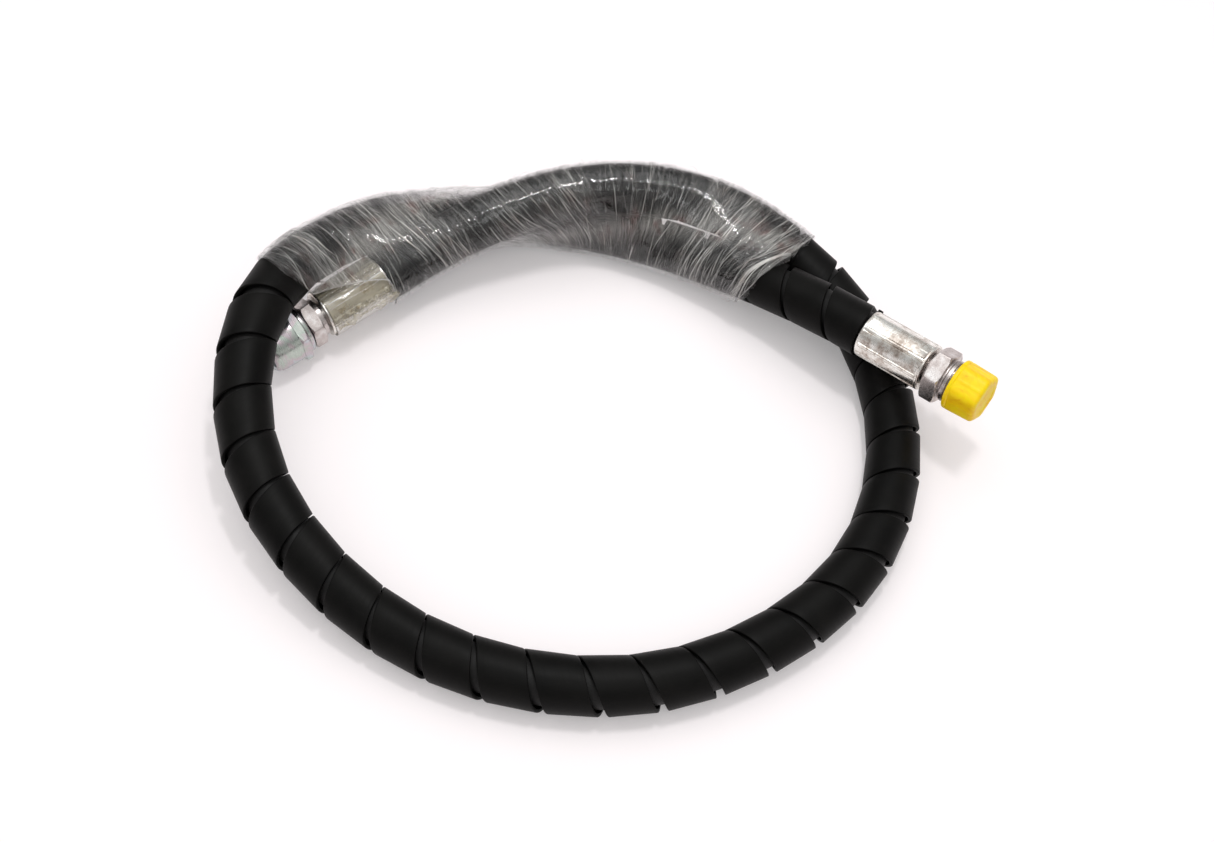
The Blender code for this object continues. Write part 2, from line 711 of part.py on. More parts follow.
# ---------------------------------------------------------------- assembly
def main():
    for old in list(bpy.data.objects):
        bpy.data.objects.remove(old, do_unlink=True)

    steel = material("zinc_plated_steel", (0.62, 0.61, 0.58), 0.32, 1.0)
    passivated = material("passivated_steel", (0.55, 0.6, 0.56), 0.28, 1.0)
    dark_steel = material("insert_steel", (0.5, 0.49, 0.47), 0.35, 1.0)
    wire = material("braid_wire", (0.7, 0.62, 0.42), 0.4, 1.0)
    rubber = material("black_rubber", (0.02, 0.02, 0.02), 0.7)
    seal_rubber = material("seal_rubber", (0.015, 0.015, 0.015), 0.55)
    guard_plastic = material("guard_plastic", (0.018, 0.018, 0.019), 0.38)
    yellow = material("yellow_plastic", (0.85, 0.75, 0.05), 0.45)
    film = material("clear_film", (0.85, 0.86, 0.87), 0.15, alpha=0.3)
    tape = material("clear_tape", (0.75, 0.72, 0.55), 0.25, alpha=0.4)

    route = Route(ROUTE)
    left_end = LEFT_TIP
    right_end = route.total - RIGHT_TIP
    left_axis = fitting_axis("left_fitting_axis", route, left_end, -1.0)
    right_axis = fitting_axis("right_fitting_axis", route, right_end, 1.0)

    hose_inset = COLLAR_LENGTH + FIT_GAP + SHOULDER_LENGTH + HOSE_END_GAP
    looks = {"inner_wire_braid": wire, "outer_wire_braid": wire}
    for name, inner, outer in hose_layers():
        hose_tube(name, route, inner, outer, left_end + hose_inset, right_end - hose_inset,
                  looks.get(name, rubber))

    guard_start = left_end + FERRULE_LENGTH + GUARD_END_GAP
    guard_end = right_end - FERRULE_LENGTH - GUARD_END_GAP
    guard = Guard(route, guard_start, guard_end)
    guard.build(guard_plastic)

    ferrule("left_ferrule", steel, left_axis)
    left_insert(dark_steel, left_axis)
    cone_o_ring(seal_rubber, left_axis)
    swivel_nut(passivated, left_axis)
    clear_tape(tape, left_axis)
    ferrule("right_ferrule", steel, right_axis)
    right_insert(dark_steel, right_axis)
    protective_cap(yellow, right_axis)
    stretch_film(route, film)

    print("hose length over the fittings %.1f mm" % route.total)
    print("least gap between turns of the guard %.2f mm" % guard.least_slot())
    print("least gap between the two runs %.2f mm" % least_run_gap(route))


if __name__ == "__main__":
    main()
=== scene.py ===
"""Hydraulic hose assembly, coiled in one loop and tied with clear film: its visible pieces.

Sizes are in millimetres and become metres where the meshes are made.  Along the hose,
places are measured from the tip of the swivel nut.  On a fitting, they are measured
outwards along its axis from the outer end of its ferrule.
"""
from math import atan2, cos, hypot, pi, radians, sin, tan, tau

import bmesh
import bpy
import numpy as np
from mathutils import Matrix, Vector


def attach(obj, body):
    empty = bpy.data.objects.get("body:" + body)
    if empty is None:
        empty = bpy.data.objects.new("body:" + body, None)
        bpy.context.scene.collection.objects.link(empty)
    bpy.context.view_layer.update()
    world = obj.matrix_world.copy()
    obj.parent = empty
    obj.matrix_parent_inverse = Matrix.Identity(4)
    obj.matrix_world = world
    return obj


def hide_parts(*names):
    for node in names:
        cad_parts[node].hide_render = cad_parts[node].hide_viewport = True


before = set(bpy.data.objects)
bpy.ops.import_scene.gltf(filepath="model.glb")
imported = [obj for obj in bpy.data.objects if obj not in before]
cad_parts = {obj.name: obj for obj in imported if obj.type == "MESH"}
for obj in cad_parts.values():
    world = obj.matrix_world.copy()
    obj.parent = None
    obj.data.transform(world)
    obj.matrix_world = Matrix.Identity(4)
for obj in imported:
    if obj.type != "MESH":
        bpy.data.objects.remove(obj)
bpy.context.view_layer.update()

MM = 0.001

WHITE = (1.0, 1.0, 1.0)

# ---- sizes
# The route's first and last points are the tips of the fittings.
ROUTE = (
    (-187.7, 12.1, 18), (-121, 84, 27.3),
    (-86, 110, 37.2), (-44, 132.5, 44), (1, 147, 42.6), (47, 147.5, 35), (89, 131, 25.5),
    (125, 100.5, 17), (147, 56, 13.7), (153, 10, 13.7), (146, -36, 13.7), (123, -80, 13.7),
    (87, -115, 13.7), (44, -139, 13.7), (-5, -149, 13.7), (-54, -145, 13.7), (-99, -129, 16),
    (-138, -104, 24), (-169, -69, 34.2), (-184.5, -30, 43), (-187.3, 8, 50.3), (-178.8, 45, 48.4),
    (-163.5, 77.5, 38), (-142.5, 105.5, 27), (-112, 125, 18.7), (-77, 134.5, 15.4),
    (-41, 137.5, 15.3), (-1, 134.5, 16), (45, 120, 21.5), (85, 99, 31),
    (121, 76, 39.8), (192, 29, 51),
)
ROUTE_SAMPLES = 6000
LEFT_TIP = 36.4
RIGHT_TIP = 34.3
FERRULE_LENGTH = 40.0
HOSE_INSET = 5.3
COVER_RADIUS = 11.1
COVER_INNER_RADIUS = 10.25

GUARD_INNER_RADIUS = 12.4
GUARD_OUTER_RADIUS = 14.2
GUARD_PITCH = 27.0
GUARD_STRIP_WIDTH = 24.4
GUARD_LEAST_SLOT = 0.7
GUARD_PHASE = 0.5 / 14.0
GUARD_STEPS = 64
GUARD_END_GAP = 0.4
GUARD_LEAST_WIDTH = 2.4
GUARD_END_LIFT, GUARD_END_TURNS, GUARD_END_BLEND = 1.9, 0.22, 0.1

# Round the film, turns run from 0 to 1 from its lowest point, and FILM_FRONT faces the camera.
FILM_RADIUS = 14.9
FILM_PLACES = (14.0, 366.0)
FILM_GIRTH = 158.0
FILM_FRONT = 0.64
FILM_GRID = (340, 190)
FILM_LEANS = (
    (14, 0.1), (80, 0.15), (120, 0.3), (160, 0.75), (195, 0.6), (225, 0.05), (290, -0.25),
    (366, -0.5),
)
FILM_LEFT_EDGE = (
    (0.0, 84), (0.09, 80), (0.14, 55), (0.2, 43), (0.3, 33), (0.4, 24), (0.47, 21), (0.58, 22),
    (0.66, 28), (0.7, 50), (0.735, 72), (0.86, 73), (0.92, 79), (1.0, 84),
)
FILM_RIGHT_EDGE = (
    (0.0, 321), (0.08, 325), (0.17, 331), (0.25, 337), (0.33, 340), (0.5, 342), (0.58, 339),
    (0.67, 334), (0.75, 327), (0.83, 320), (0.9, 318), (1.0, 321),
)
TAPE_TURNS = 2.15
TAPE_GIRTH = 87.0


# ---- route
def unit(vectors):
    vectors = np.asarray(vectors, float)
    return vectors / np.linalg.norm(vectors, axis=-1, keepdims=True)


def lengths_along(points):
    return np.r_[0.0, np.cumsum(np.linalg.norm(np.diff(points, axis=0), axis=1))]


class Route:
    """The hose's centre line, read by length along it."""

    def __init__(self, points):
        points = np.array(points, float)
        curve = points[1:-1]
        first, last = unit(points[1] - points[0]), unit(points[-1] - points[-2])
        chord = lengths_along(curve)
        slopes = self.slopes(chord, curve, first, last)
        at = np.linspace(0.0, chord[-1], ROUTE_SAMPLES)
        middle = self.hermite(chord, curve, slopes, at)
        self.points = np.vstack([points[:1], middle, points[-1:]])
        self.lengths = lengths_along(self.points)
        self.total = self.lengths[-1]

    @staticmethod
    def slopes(chord, points, first, last):
        """Slopes of the smooth curve through the points, with given slopes at its ends."""
        count = len(points)
        matrix = np.eye(count)
        right = np.zeros((count, 3))
        right[0], right[-1] = first, last
        for k in range(1, count - 1):
            before, after = chord[k] - chord[k - 1], chord[k + 1] - chord[k]
            matrix[k, k - 1:k + 2] = (1.0 / before, 2.0 / before + 2.0 / after, 1.0 / after)
            right[k] = 3.0 * (
                (points[k] - points[k - 1]) / before ** 2 + (points[k + 1] - points[k]) / after ** 2
            )
        return np.linalg.solve(matrix, right)

    @staticmethod
    def hermite(chord, points, slopes, at):
        """Points of the curve at chord lengths."""
        k = np.clip(np.searchsorted(chord, at, side="right") - 1, 0, len(points) - 2)
        span = (chord[k + 1] - chord[k])[:, None]
        t = (at - chord[k])[:, None] / span
        return (
            (2 * t ** 3 - 3 * t ** 2 + 1) * points[k]
            + (t ** 3 - 2 * t ** 2 + t) * span * slopes[k]
            + (3 * t ** 2 - 2 * t ** 3) * points[k + 1] + (t ** 3 - t ** 2) * span * slopes[k + 1]
        )

    def at(self, lengths):
        lengths = np.asarray(lengths, float)
        return np.stack([np.interp(lengths, self.lengths, self.points[:, k]) for k in range(3)], -1)

    def frames(self, lengths):
        """Points, directions, downward normals and sideways normals at an array of lengths."""
        lengths = np.asarray(lengths, float)
        along = unit(
            self.at(np.minimum(lengths + 0.5, self.total)) - self.at(np.maximum(lengths - 0.5, 0.0))
        )
        side = unit(np.cross(along, (0.0, 0.0, -1.0)))
        return self.at(lengths), along, np.cross(side, along), side

    def bend(self, lengths, reach=12.0):
        """Curvature vectors, which point to the inside of the bend."""
        lengths = np.clip(lengths, reach, self.total - reach)
        before, here, after = self.at(lengths - reach), self.at(lengths), self.at(lengths + reach)
        return (before + after - 2.0 * here) / reach ** 2


route = Route(ROUTE)
left_end, right_end = LEFT_TIP, route.total - RIGHT_TIP


def fitting_frame(place, outwards):
    """Matrix in metres of a fitting's axis: origin at the ferrule's outer end, Z outwards."""
    point, along, down, _ = (v[0] for v in route.frames([place]))
    along = along * outwards
    turn = Matrix((down, np.cross(along, down), along)).transposed()
    return Matrix.Translation(Vector(point) * MM) @ turn.to_4x4()


left_axis = fitting_frame(left_end, -1.0)
right_axis = fitting_frame(right_end, 1.0)


# ---- camera
TARGET = Vector((-0.001, 0.014, 0.0))
ELEVATION, ROLL, DISTANCE = radians(55.5), radians(9.0), 0.8
PHOTO_WIDTH, FOCAL_PIXELS, SENSOR = 1214.0, 1472.0, 36.0
TO_CAMERA = Vector((0.0, -cos(ELEVATION), sin(ELEVATION)))


def in_scene(name, data, matrix=None):
    made = bpy.data.objects.new(name, data)
    bpy.context.scene.collection.objects.link(made)
    if matrix is not None:
        made.matrix_world = matrix
    return made


def set_camera():
    """Camera at the photographed object's viewing angle."""
    data = bpy.data.cameras.new("camera")
    data.sensor_width = SENSOR
    data.lens = FOCAL_PIXELS / PHOTO_WIDTH * SENSOR
    data.clip_start, data.clip_end = 0.01, 50.0
    place = Matrix.Translation(TARGET + TO_CAMERA * DISTANCE)
    turn = Matrix.Rotation(pi / 2.0 - ELEVATION, 4, "X") @ Matrix.Rotation(ROLL, 4, "Z")
    bpy.context.scene.camera = in_scene("camera", data, place @ turn)


set_camera()


# ---- materials
class Look:
    """One material, and short calls that add nodes to it."""

    def __init__(self, name, colour=(0.5, 0.5, 0.5), **values):
        self.material = bpy.data.materials.new(name)
        self.material.use_nodes = True
        self.tree = self.material.node_tree
        self.shader = self.tree.nodes["Principled BSDF"]
        self.output = self.tree.nodes["Material Output"]
        self.set(Base_Color=colour, **values)

    def put(self, socket, value):
        if isinstance(value, bpy.types.NodeSocket):
            self.tree.links.new(value, socket)
        elif socket.type == "RGBA":
            socket.default_value = (*value, 1.0)
        else:
            socket.default_value = value

    def set(self, **values):
        """Set inputs of the shader, with _ for each space in their names."""
        for name, value in values.items():
            self.put(self.shader.inputs[name.replace("_", " ")], value)

    def add(self, kind, inputs, **settings):
        node = self.tree.nodes.new(kind)
        for name, value in settings.items():
            setattr(node, name, value)
        for name, value in inputs.items():
            self.put(node.inputs[name], value)
        return node

    def place(self, scale=(1.0, 1.0, 1.0)):
        """Coordinates in metres, stretched by a scale."""
        source = self.add("ShaderNodeTexCoord", {}).outputs["Object"]
        return self.add("ShaderNodeMapping", {"Vector": source, "Scale": scale}).outputs[0]

    def sheet(self, *scale):
        """Coordinates on a strip or sheet, in metres along and across it."""
        source = self.add("ShaderNodeUVMap", {}, uv_map="surface").outputs[0]
        return self.add("ShaderNodeMapping", {"Vector": source, "Scale": (*scale, 1.0)}).outputs[0]

    def noise(self, vector, scale, detail=3.0, roughness=0.5, distortion=0.0):
        return self.add("ShaderNodeTexNoise", {
            "Vector": vector, "Scale": scale, "Detail": detail, "Roughness": roughness,
            "Distortion": distortion,
        }).outputs["Fac"]

    def grain(self, scale, *settings):
        """Noise through the solid."""
        return self.noise(self.place(), scale, *settings)

    def cells(self, scale):
        """Distance in cells from the nearest of many points in the solid."""
        inputs = {"Vector": self.place(), "Scale": scale}
        return self.add("ShaderNodeTexVoronoi", inputs, feature="F1").outputs["Distance"]

    def attribute(self, name):
        return self.add("ShaderNodeAttribute", {}, attribute_name=name).outputs["Fac"]

    def levels(self, value, low, high, to_low=0.0, to_high=1.0):
        return self.add("ShaderNodeMapRange", {
            "Value": value, "From Min": low, "From Max": high, "To Min": to_low, "To Max": to_high,
        }).outputs[0]

    def maths(self, operation, first, second=0.0):
        node = self.add("ShaderNodeMath", {}, operation=operation)
        self.put(node.inputs[0], first)
        self.put(node.inputs[1], second)
        return node.outputs[0]

    def plus(self, first, second):
        return self.maths("ADD", first, second)

    def times(self, first, second):
        return self.maths("MULTIPLY", first, second)

    def mix(self, factor, first, second):
        node = self.add("ShaderNodeMix", {}, data_type="RGBA")
        self.put(node.inputs[0], factor)
        self.put(node.inputs[6], first)
        self.put(node.inputs[7], second)
        return node.outputs[2]

    def ramp(self, value, *stops):
        node = self.add("ShaderNodeValToRGB", {"Fac": value})
        elements = node.color_ramp.elements
        while len(elements) < len(stops):
            elements.new(0.5)
        for element, (at, colour) in zip(elements, stops):
            element.position = at
            element.color = (*colour, 1.0)
        return node.outputs["Color"]

    def bump(self, height, distance, strength=1.0, under=None):
        inputs = {"Height": height, "Distance": distance, "Strength": strength}
        if under is not None:
            inputs["Normal"] = under
        normal = self.add("ShaderNodeBump", inputs).outputs[0]
        self.set(Normal=normal)
        return normal

    def finish(self, shader):
        self.put(self.output.inputs[0], shader)
        return self.material


def guard_look():
    """Black extruded strip: satin, with long die lines, faint scuffs and a few dust specks."""
    look = Look("guard_plastic", Roughness=0.45, Specular_IOR_Level=0.09)
    lines = look.noise(look.sheet(22.0, 1400.0), 1.0, 4.0, 0.6)
    patches = look.grain(38.0, 4.0, 0.6)
    scuffed = look.levels(look.noise(look.sheet(420.0, 60.0), 1.0, 5.0, 0.7, 0.6), 0.62, 0.8)
    tone = look.mix(
        look.levels(patches, 0.35, 0.7), (0.0018, 0.0018, 0.0016), (0.005, 0.0047, 0.0042),
    )
    tone = look.mix(look.times(scuffed, 0.35), tone, (0.02, 0.019, 0.018))
    dust = look.levels(look.cells(150.0), 0.035, 0.015)
    rare = look.levels(look.grain(90.0, 1.0), 0.62, 0.68)
    tone = look.mix(look.times(dust, rare), tone, (0.16, 0.15, 0.13))
    rough = look.levels(look.plus(lines, look.times(patches, 0.6)), 0.4, 1.2, 0.38, 0.56)
    look.set(Base_Color=tone, Roughness=look.plus(rough, look.times(scuffed, 0.1)))
    look.bump(lines, 0.00006, 0.35, look.bump(look.grain(700.0, 2.0), 0.00005, 0.3))
    return look.material


def rubber_look():
    """Black rubber with the fine cloth mark of its wrapped cure."""
    look = Look("cover_rubber", Roughness=0.55, Specular_IOR_Level=0.25)
    weave = look.add("ShaderNodeTexBrick", {
        "Vector": look.sheet(1.0, 1.0), "Scale": 900.0, "Mortar Size": 0.12,
        "Color1": WHITE, "Color2": (0.8, 0.8, 0.8), "Mortar": (0.0, 0.0, 0.0),
    }).outputs["Fac"]
    patches = look.grain(60.0, 4.0, 0.6)
    look.set(
        Base_Color=look.mix(patches, (0.004, 0.004, 0.004), (0.012, 0.0115, 0.011)),
        Roughness=look.levels(patches, 0.3, 0.7, 0.47, 0.67),
    )
    look.bump(weave, 0.0001, 0.4)
    return look.material


def plain_rubber_look(name, tone):
    """Moulded rubber without a cloth mark."""
    look = Look(name, Roughness=0.5)
    grain = look.grain(500.0, 3.0)
    light = tuple(c * 1.8 + 0.004 for c in tone)
    look.set(
        Base_Color=look.mix(look.levels(grain, 0.3, 0.7), tone, light),
        Roughness=look.levels(grain, 0.3, 0.7, 0.45, 0.65),
    )
    look.bump(grain, 0.00005, 0.3)
    return look.material


def zinc_look():
    """Crimped zinc-plated sleeve: bright, with brown-grey clouds, drag marks and small dents."""
    look = Look("zinc_steel", Metallic=1.0, Roughness=0.3)
    clouds = look.grain(110.0, 6.0, 0.62, 0.5)
    fine = look.grain(620.0, 5.0, 0.72, 0.3)
    drag = look.noise(look.place((900.0, 900.0, 55.0)), 1.0, 4.0, 0.6)
    both = look.plus(look.times(clouds, 0.6), look.times(fine, 0.4))
    tone = look.ramp(
        both, (0.36, (0.34, 0.29, 0.25)), (0.44, (0.56, 0.5, 0.45)), (0.5, (0.76, 0.73, 0.68)),
        (0.57, (0.88, 0.87, 0.83)), (0.66, (0.94, 0.94, 0.91)),
    )
    look.set(
        Base_Color=look.mix(look.levels(drag, 0.62, 0.8, 0.0, 0.5), tone, (0.4, 0.36, 0.33)),
        Roughness=look.levels(both, 0.36, 0.64, 0.34, 0.14),
    )
    look.bump(drag, 0.00008, 0.3, look.bump(fine, 0.00014, 0.4))
    return look.material


def insert_look():
    """Machined zinc-plated steel with a fine sparkle and a faint pink cast."""
    look = Look("insert_steel", Metallic=1.0, Roughness=0.3)
    clouds = look.grain(150.0, 4.0, 0.6)
    sparkle = look.grain(2400.0, 2.0, 0.6)
    rings = look.noise(look.place((60.0, 60.0, 5200.0)), 1.0, 2.0)
    tone = look.ramp(
        clouds, (0.3, (0.34, 0.3, 0.29)), (0.5, (0.54, 0.49, 0.47)), (0.7, (0.72, 0.7, 0.69)),
    )
    look.set(
        Base_Color=look.mix(look.levels(sparkle, 0.52, 0.7, 0.0, 0.7), tone, (0.24, 0.2, 0.21)),
        Roughness=look.levels(sparkle, 0.3, 0.7, 0.2, 0.4),
    )
    look.bump(rings, 0.00003, 0.3, look.bump(sparkle, 0.00005, 0.45))
    return look.material


def passivated_look():
    """Passivated zinc: pale steel with green, pink and blue colours that drift over it."""
    look = Look("passivated_steel", Metallic=1.0, Roughness=0.25)
    drift = look.noise(look.place((1.0, 1.0, 1.6)), 48.0, 3.0, 0.55, 0.8)
    rings = look.noise(look.place((40.0, 40.0, 900.0)), 1.0, 2.0)
    facing = look.add("ShaderNodeLayerWeight", {"Blend": 0.35}).outputs["Facing"]
    tone = look.ramp(
        look.plus(drift, look.times(facing, 0.25)),
        (0.3, (0.52, 0.55, 0.51)), (0.45, (0.45, 0.51, 0.46)), (0.55, (0.54, 0.46, 0.49)),
        (0.65, (0.5, 0.53, 0.56)), (0.78, (0.46, 0.52, 0.48)), (0.9, (0.56, 0.54, 0.5)),
    )
    fine = look.grain(1500.0, 3.0, 0.6)
    look.set(
        Base_Color=look.mix(look.levels(fine, 0.56, 0.74, 0.0, 0.6), tone, (0.3, 0.3, 0.29)),
        Roughness=look.levels(rings, 0.3, 0.7, 0.22, 0.32),
    )
    look.bump(rings, 0.00001, 0.2, look.bump(fine, 0.00003, 0.3))
    return look.material


def yellow_look():
    """Moulded yellow polyethylene, a little waxy, with faint flow marks."""
    look = Look(
        "yellow_plastic", Roughness=0.4, Specular_IOR_Level=0.3, Subsurface_Weight=0.1,
        Subsurface_Scale=0.0015, Subsurface_Radius=(1.0, 0.6, 0.05),
    )
    flow = look.noise(look.place((1.0, 1.0, 0.5)), 170.0, 5.0, 0.65, 0.9)
    pits = look.grain(460.0, 3.0, 0.6)
    look.set(
        Base_Color=look.ramp(
            flow, (0.32, (0.92, 0.5, 0.0)), (0.45, (1.0, 0.66, 0.0)), (0.62, (1.0, 0.75, 0.0)),
        ),
        Roughness=look.levels(pits, 0.3, 0.7, 0.34, 0.5),
    )
    look.bump(pits, 0.0001, 0.3, look.bump(flow, 0.0003, 0.2))
    return look.material


def clear_look(name, tint, haze, streak, stain_and_reflection, wrinkle=0.00045):
    """Crumpled clear film.

    The crease attribute is high where folded layers turn pale, and the web attribute where
    the film bridges a hollow in many layers.  The last colour is that of its patches: a real
    stain on the tape, and a painted reddish reflection on the film.
    """
    look = Look(name, tint, Roughness=0.25)
    crease, web = look.attribute("crease"), look.attribute("web")
    fibres = look.noise(look.sheet(640.0, 34.0), 1.0, 2.0, 0.6, 0.5)
    broad = look.noise(look.sheet(70.0, 30.0), 1.0, 3.0, 0.6, 0.8)
    fibre = look.levels(fibres, 0.56, 0.7)
    strong = look.levels(broad, 0.42, 0.64, 0.1, 1.2)
    pale = look.plus(look.times(crease, streak), look.times(fibre, 0.12))
    thick = look.times(web, look.levels(fibres, 0.35, 0.65, 0.01, 0.2))
    alpha = look.plus(look.plus(look.times(pale, strong), haze), thick)
    alpha = look.maths("MINIMUM", alpha, 0.9)
    # Patches of the last colour: real stains on the tape, and a painted reddish reflection on the
    # film.
    stain_and_reflection_mask = look.levels(look.grain(120.0, 3.0, 0.6), 0.53, 0.6)
    look.set(Base_Color=look.mix(look.times(stain_and_reflection_mask, 0.7), tint, stain_and_reflection))
    normal = look.bump(fibres, wrinkle, 1.0, look.bump(broad, wrinkle * 2.0, 0.4))
    clear = look.add("ShaderNodeBsdfTransparent", {"Color": WHITE}).outputs[0]
    gloss = look.add("ShaderNodeBsdfGlossy", {
        "Color": WHITE, "Roughness": 0.055, "Normal": normal,
    }).outputs[0]
    fresnel = look.add("ShaderNodeFresnel", {"IOR": 1.35, "Normal": normal}).outputs[0]
    shine = look.maths("MINIMUM", look.times(fresnel, 1.2), 0.5)
    whole = clear
    for share, shader in ((alpha, look.shader.outputs[0]), (shine, gloss)):
        whole = look.add("ShaderNodeMixShader", {0: share, 1: whole, 2: shader}).outputs[0]
    return look.finish(whole)


def braid_look():
    """Brass-coated wire braid."""
    look = Look("braid_wire", Metallic=1.0, Roughness=0.35)
    wires = look.grain(1400.0, 2.0)
    shown = look.levels(wires, 0.35, 0.65)
    look.set(Base_Color=look.mix(shown, (0.35, 0.27, 0.12), (0.78, 0.68, 0.42)))
    look.bump(wires, 0.0002, 0.6)
    return look.material


GUARD = guard_look()
RUBBER = rubber_look()
LINING = plain_rubber_look("lining_rubber", (0.012, 0.012, 0.012))
SEAL = plain_rubber_look("seal_rubber", (0.009, 0.009, 0.009))
ZINC = zinc_look()
STEEL = insert_look()
PASSIVATED = passivated_look()
YELLOW = yellow_look()
# The film's reddish patches are a painted reflection, not a stain.
FILM = clear_look("clear_film", (0.76, 0.73, 0.68), 0.0, 0.12, (0.4, 0.16, 0.14))
CREASE = clear_look("film_creases", (0.86, 0.84, 0.8), 0.0, 1.05, (0.74, 0.66, 0.6), 0.00015)
TAPE = clear_look("clear_tape", (0.44, 0.4, 0.3), 0.42, 0.5, (0.32, 0.25, 0.14))
BRAID = braid_look()


# ---- meshes
def grid_faces(rows, columns, ring=True, loop=False, first=0):
    """Faces of a grid of points.  A ring closes its columns and a loop its rows."""
    r = np.arange(rows if loop else rows - 1)[:, None]
    c = np.arange(columns if ring else columns - 1)[None]
    r2, c2 = (r + 1) % rows, (c + 1) % columns
    corners = [row * columns + column for row, column in ((r, c), (r, c2), (r2, c2), (r2, c))]
    return (first + np.stack(corners, -1)).reshape(-1, 4).tolist()


def together(*arrays):
    """Arrays brought to one shape and stacked as the parts of each point."""
    return np.stack(np.broadcast_arrays(*arrays), -1)


def polar(radius, angle, place):
    """Points from a radius, an angle and a place along the axis."""
    return together(radius * np.cos(angle), radius * np.sin(angle), place)


def piece(name, points, faces, look, slot, body="hose", axis=None, uv=None, sharp=35.0,
          solid=True, node=None, **marks):
    """One object, which may replace a node of the frame.

    Points are in millimetres, in the fitting's frame where an axis is given.
    """
    mesh = bpy.data.meshes.new(name)
    mesh.from_pydata((np.asarray(points, float).reshape(-1, 3) * MM).tolist(), [], faces)
    mesh.materials.append(look)
    if uv is not None:
        corner = np.empty(len(mesh.loops), np.int32)
        mesh.loops.foreach_get("vertex_index", corner)
        layer = mesh.uv_layers.new(name="surface")
        layer.data.foreach_set("uv", np.asarray(uv, np.float32).reshape(-1, 2)[corner].ravel())
    for mark, values in marks.items():
        attribute = mesh.attributes.new(mark, "FLOAT", "POINT")
        attribute.data.foreach_set("value", np.asarray(values, np.float32).ravel())
    if solid:
        work = bmesh.new()
        work.from_mesh(mesh)
        bmesh.ops.recalc_face_normals(work, faces=work.faces)
        work.to_mesh(mesh)
        work.free()
    mesh.shade_smooth()
    if sharp:
        mesh.set_sharp_from_angle(angle=radians(sharp))
    made = in_scene(name, mesh, axis)
    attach(made, body)
    if node:
        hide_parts(node)
    return made


def turned(name, node, rows, angles, look, slot, axis, body="hose", sharp=28.0):
    """A closed piece round a fitting's axis.

    Each row is (place, radius), where either may be an array over the angles.
    """
    points = [polar(radius, angles, place) for place, radius in rows]
    faces = grid_faces(len(rows), len(angles), loop=True)
    return piece(name, points, faces, look, slot, body, axis, sharp=sharp, node=node)


def even_angles(count):
    return np.arange(count) * tau / count


HEX_SPREAD = (0.0, 0.35, 0.8, 1.4, 2.2, 3.5, 5.5, 8.5, 12.5, 17.5, 22.5, 27.0)


def corner_angles(corners, spread=HEX_SPREAD):
    """Angles that crowd together at each corner."""
    half = 180.0 / corners
    near = [s for s in spread if s < half - 0.5] + [half]
    made = []
    for k in range(corners):
        middle = k * 2.0 * half
        made += [middle + s for s in near] + [middle - s for s in near[1:-1]]
    return np.radians(sorted(a % 360.0 for a in made))


def least(rounding, *radii):
    """The least of several radii, with its edges rounded."""
    stack = np.stack(np.broadcast_arrays(*[np.asarray(r, float) for r in radii]))
    low = stack.min(0)
    return low - rounding * np.log(np.exp(-(stack - low) / rounding).sum(0))


def hexagon(angles, flats, rounding=0.14):
    """Radius of a hexagon by angle, with rounded corners."""
    planes = []
    for k in range(6):
        away = np.cos(angles - pi / 6 - k * pi / 3)
        planes.append(np.where(away > 0.2, flats / 2.0 / np.maximum(away, 0.2), 1e3))
    return least(rounding, *planes)


def hex_rows(start, end, angles, flats, face_radii, rows=9, rounding=0.1):
    """Rows of a hexagon, turned down at 30 degrees from a circle on each of its two faces."""
    corner = flats / 2.0 / cos(pi / 6)
    slope = tan(radians(30.0))
    whole = hexagon(angles, flats)
    made = []
    for face, inwards, face_radius in ((start, 1.0, face_radii[0]), (end, -1.0, face_radii[1])):
        circle = least(rounding, whole, face_radius)
        depth = (corner - face_radius) * slope
        side = [(face, circle - 0.2), (face + 0.05 * inwards, circle - 0.05)]
        for a in np.linspace(0.0, depth * 1.15, rows):
            radius = least(rounding, whole, face_radius + a / slope)
            side.append((face + (0.12 + a) * inwards, radius))
        made += side[::int(inwards)]
    return made


def thread_rows(start, end, angles, crest, pitch, depth, steps=8, fade=1.2):
    """Rows of a helical thread, which fades in and out at its ends."""
    made = []
    count = int((end - start) / pitch * steps)
    for k in range(count + 1):
        place = start + (end - start) * k / count
        phase = (place / pitch - angles / tau) % 1.0
        groove = np.clip(1.0 - np.abs(phase - 0.5) / 0.42, 0.0, 1.0)
        shown = min(1.0, (place - start) / fade, (end - place) / fade)
        made.append((place, crest - depth * groove * max(shown, 0.0)))
    return made


# ---- hose and guard
def outwards(angle, down, side):
    """Directions away from the route, by the angle round it."""
    return np.cos(angle)[..., None] * down + np.sin(angle)[..., None] * side


def hose_cover():
    """The hose's cover, one smooth tube from fitting to fitting."""
    places = np.linspace(left_end + HOSE_INSET, right_end - HOSE_INSET, 340)
    point, _, down, side = route.frames(places)
    angles = np.linspace(0.0, tau, 49)
    away = outwards(angles, down[:, None], side[:, None])
    outer, inner = (
        point[:, None] + radius * away for radius in (COVER_RADIUS, COVER_INNER_RADIUS)
    )
    points = np.concatenate([outer, inner[::-1]])
    along = np.r_[places, places[::-1]] * MM
    uv = together(along[:, None], (angles * COVER_RADIUS * MM)[None])
    faces = grid_faces(*points.shape[:2], ring=False, loop=True)
    made = piece(
        "hose_cover", points, faces, RUBBER, "rubber", uv=uv, sharp=50.0, node="outer_cover",
    )
    return made, places, point


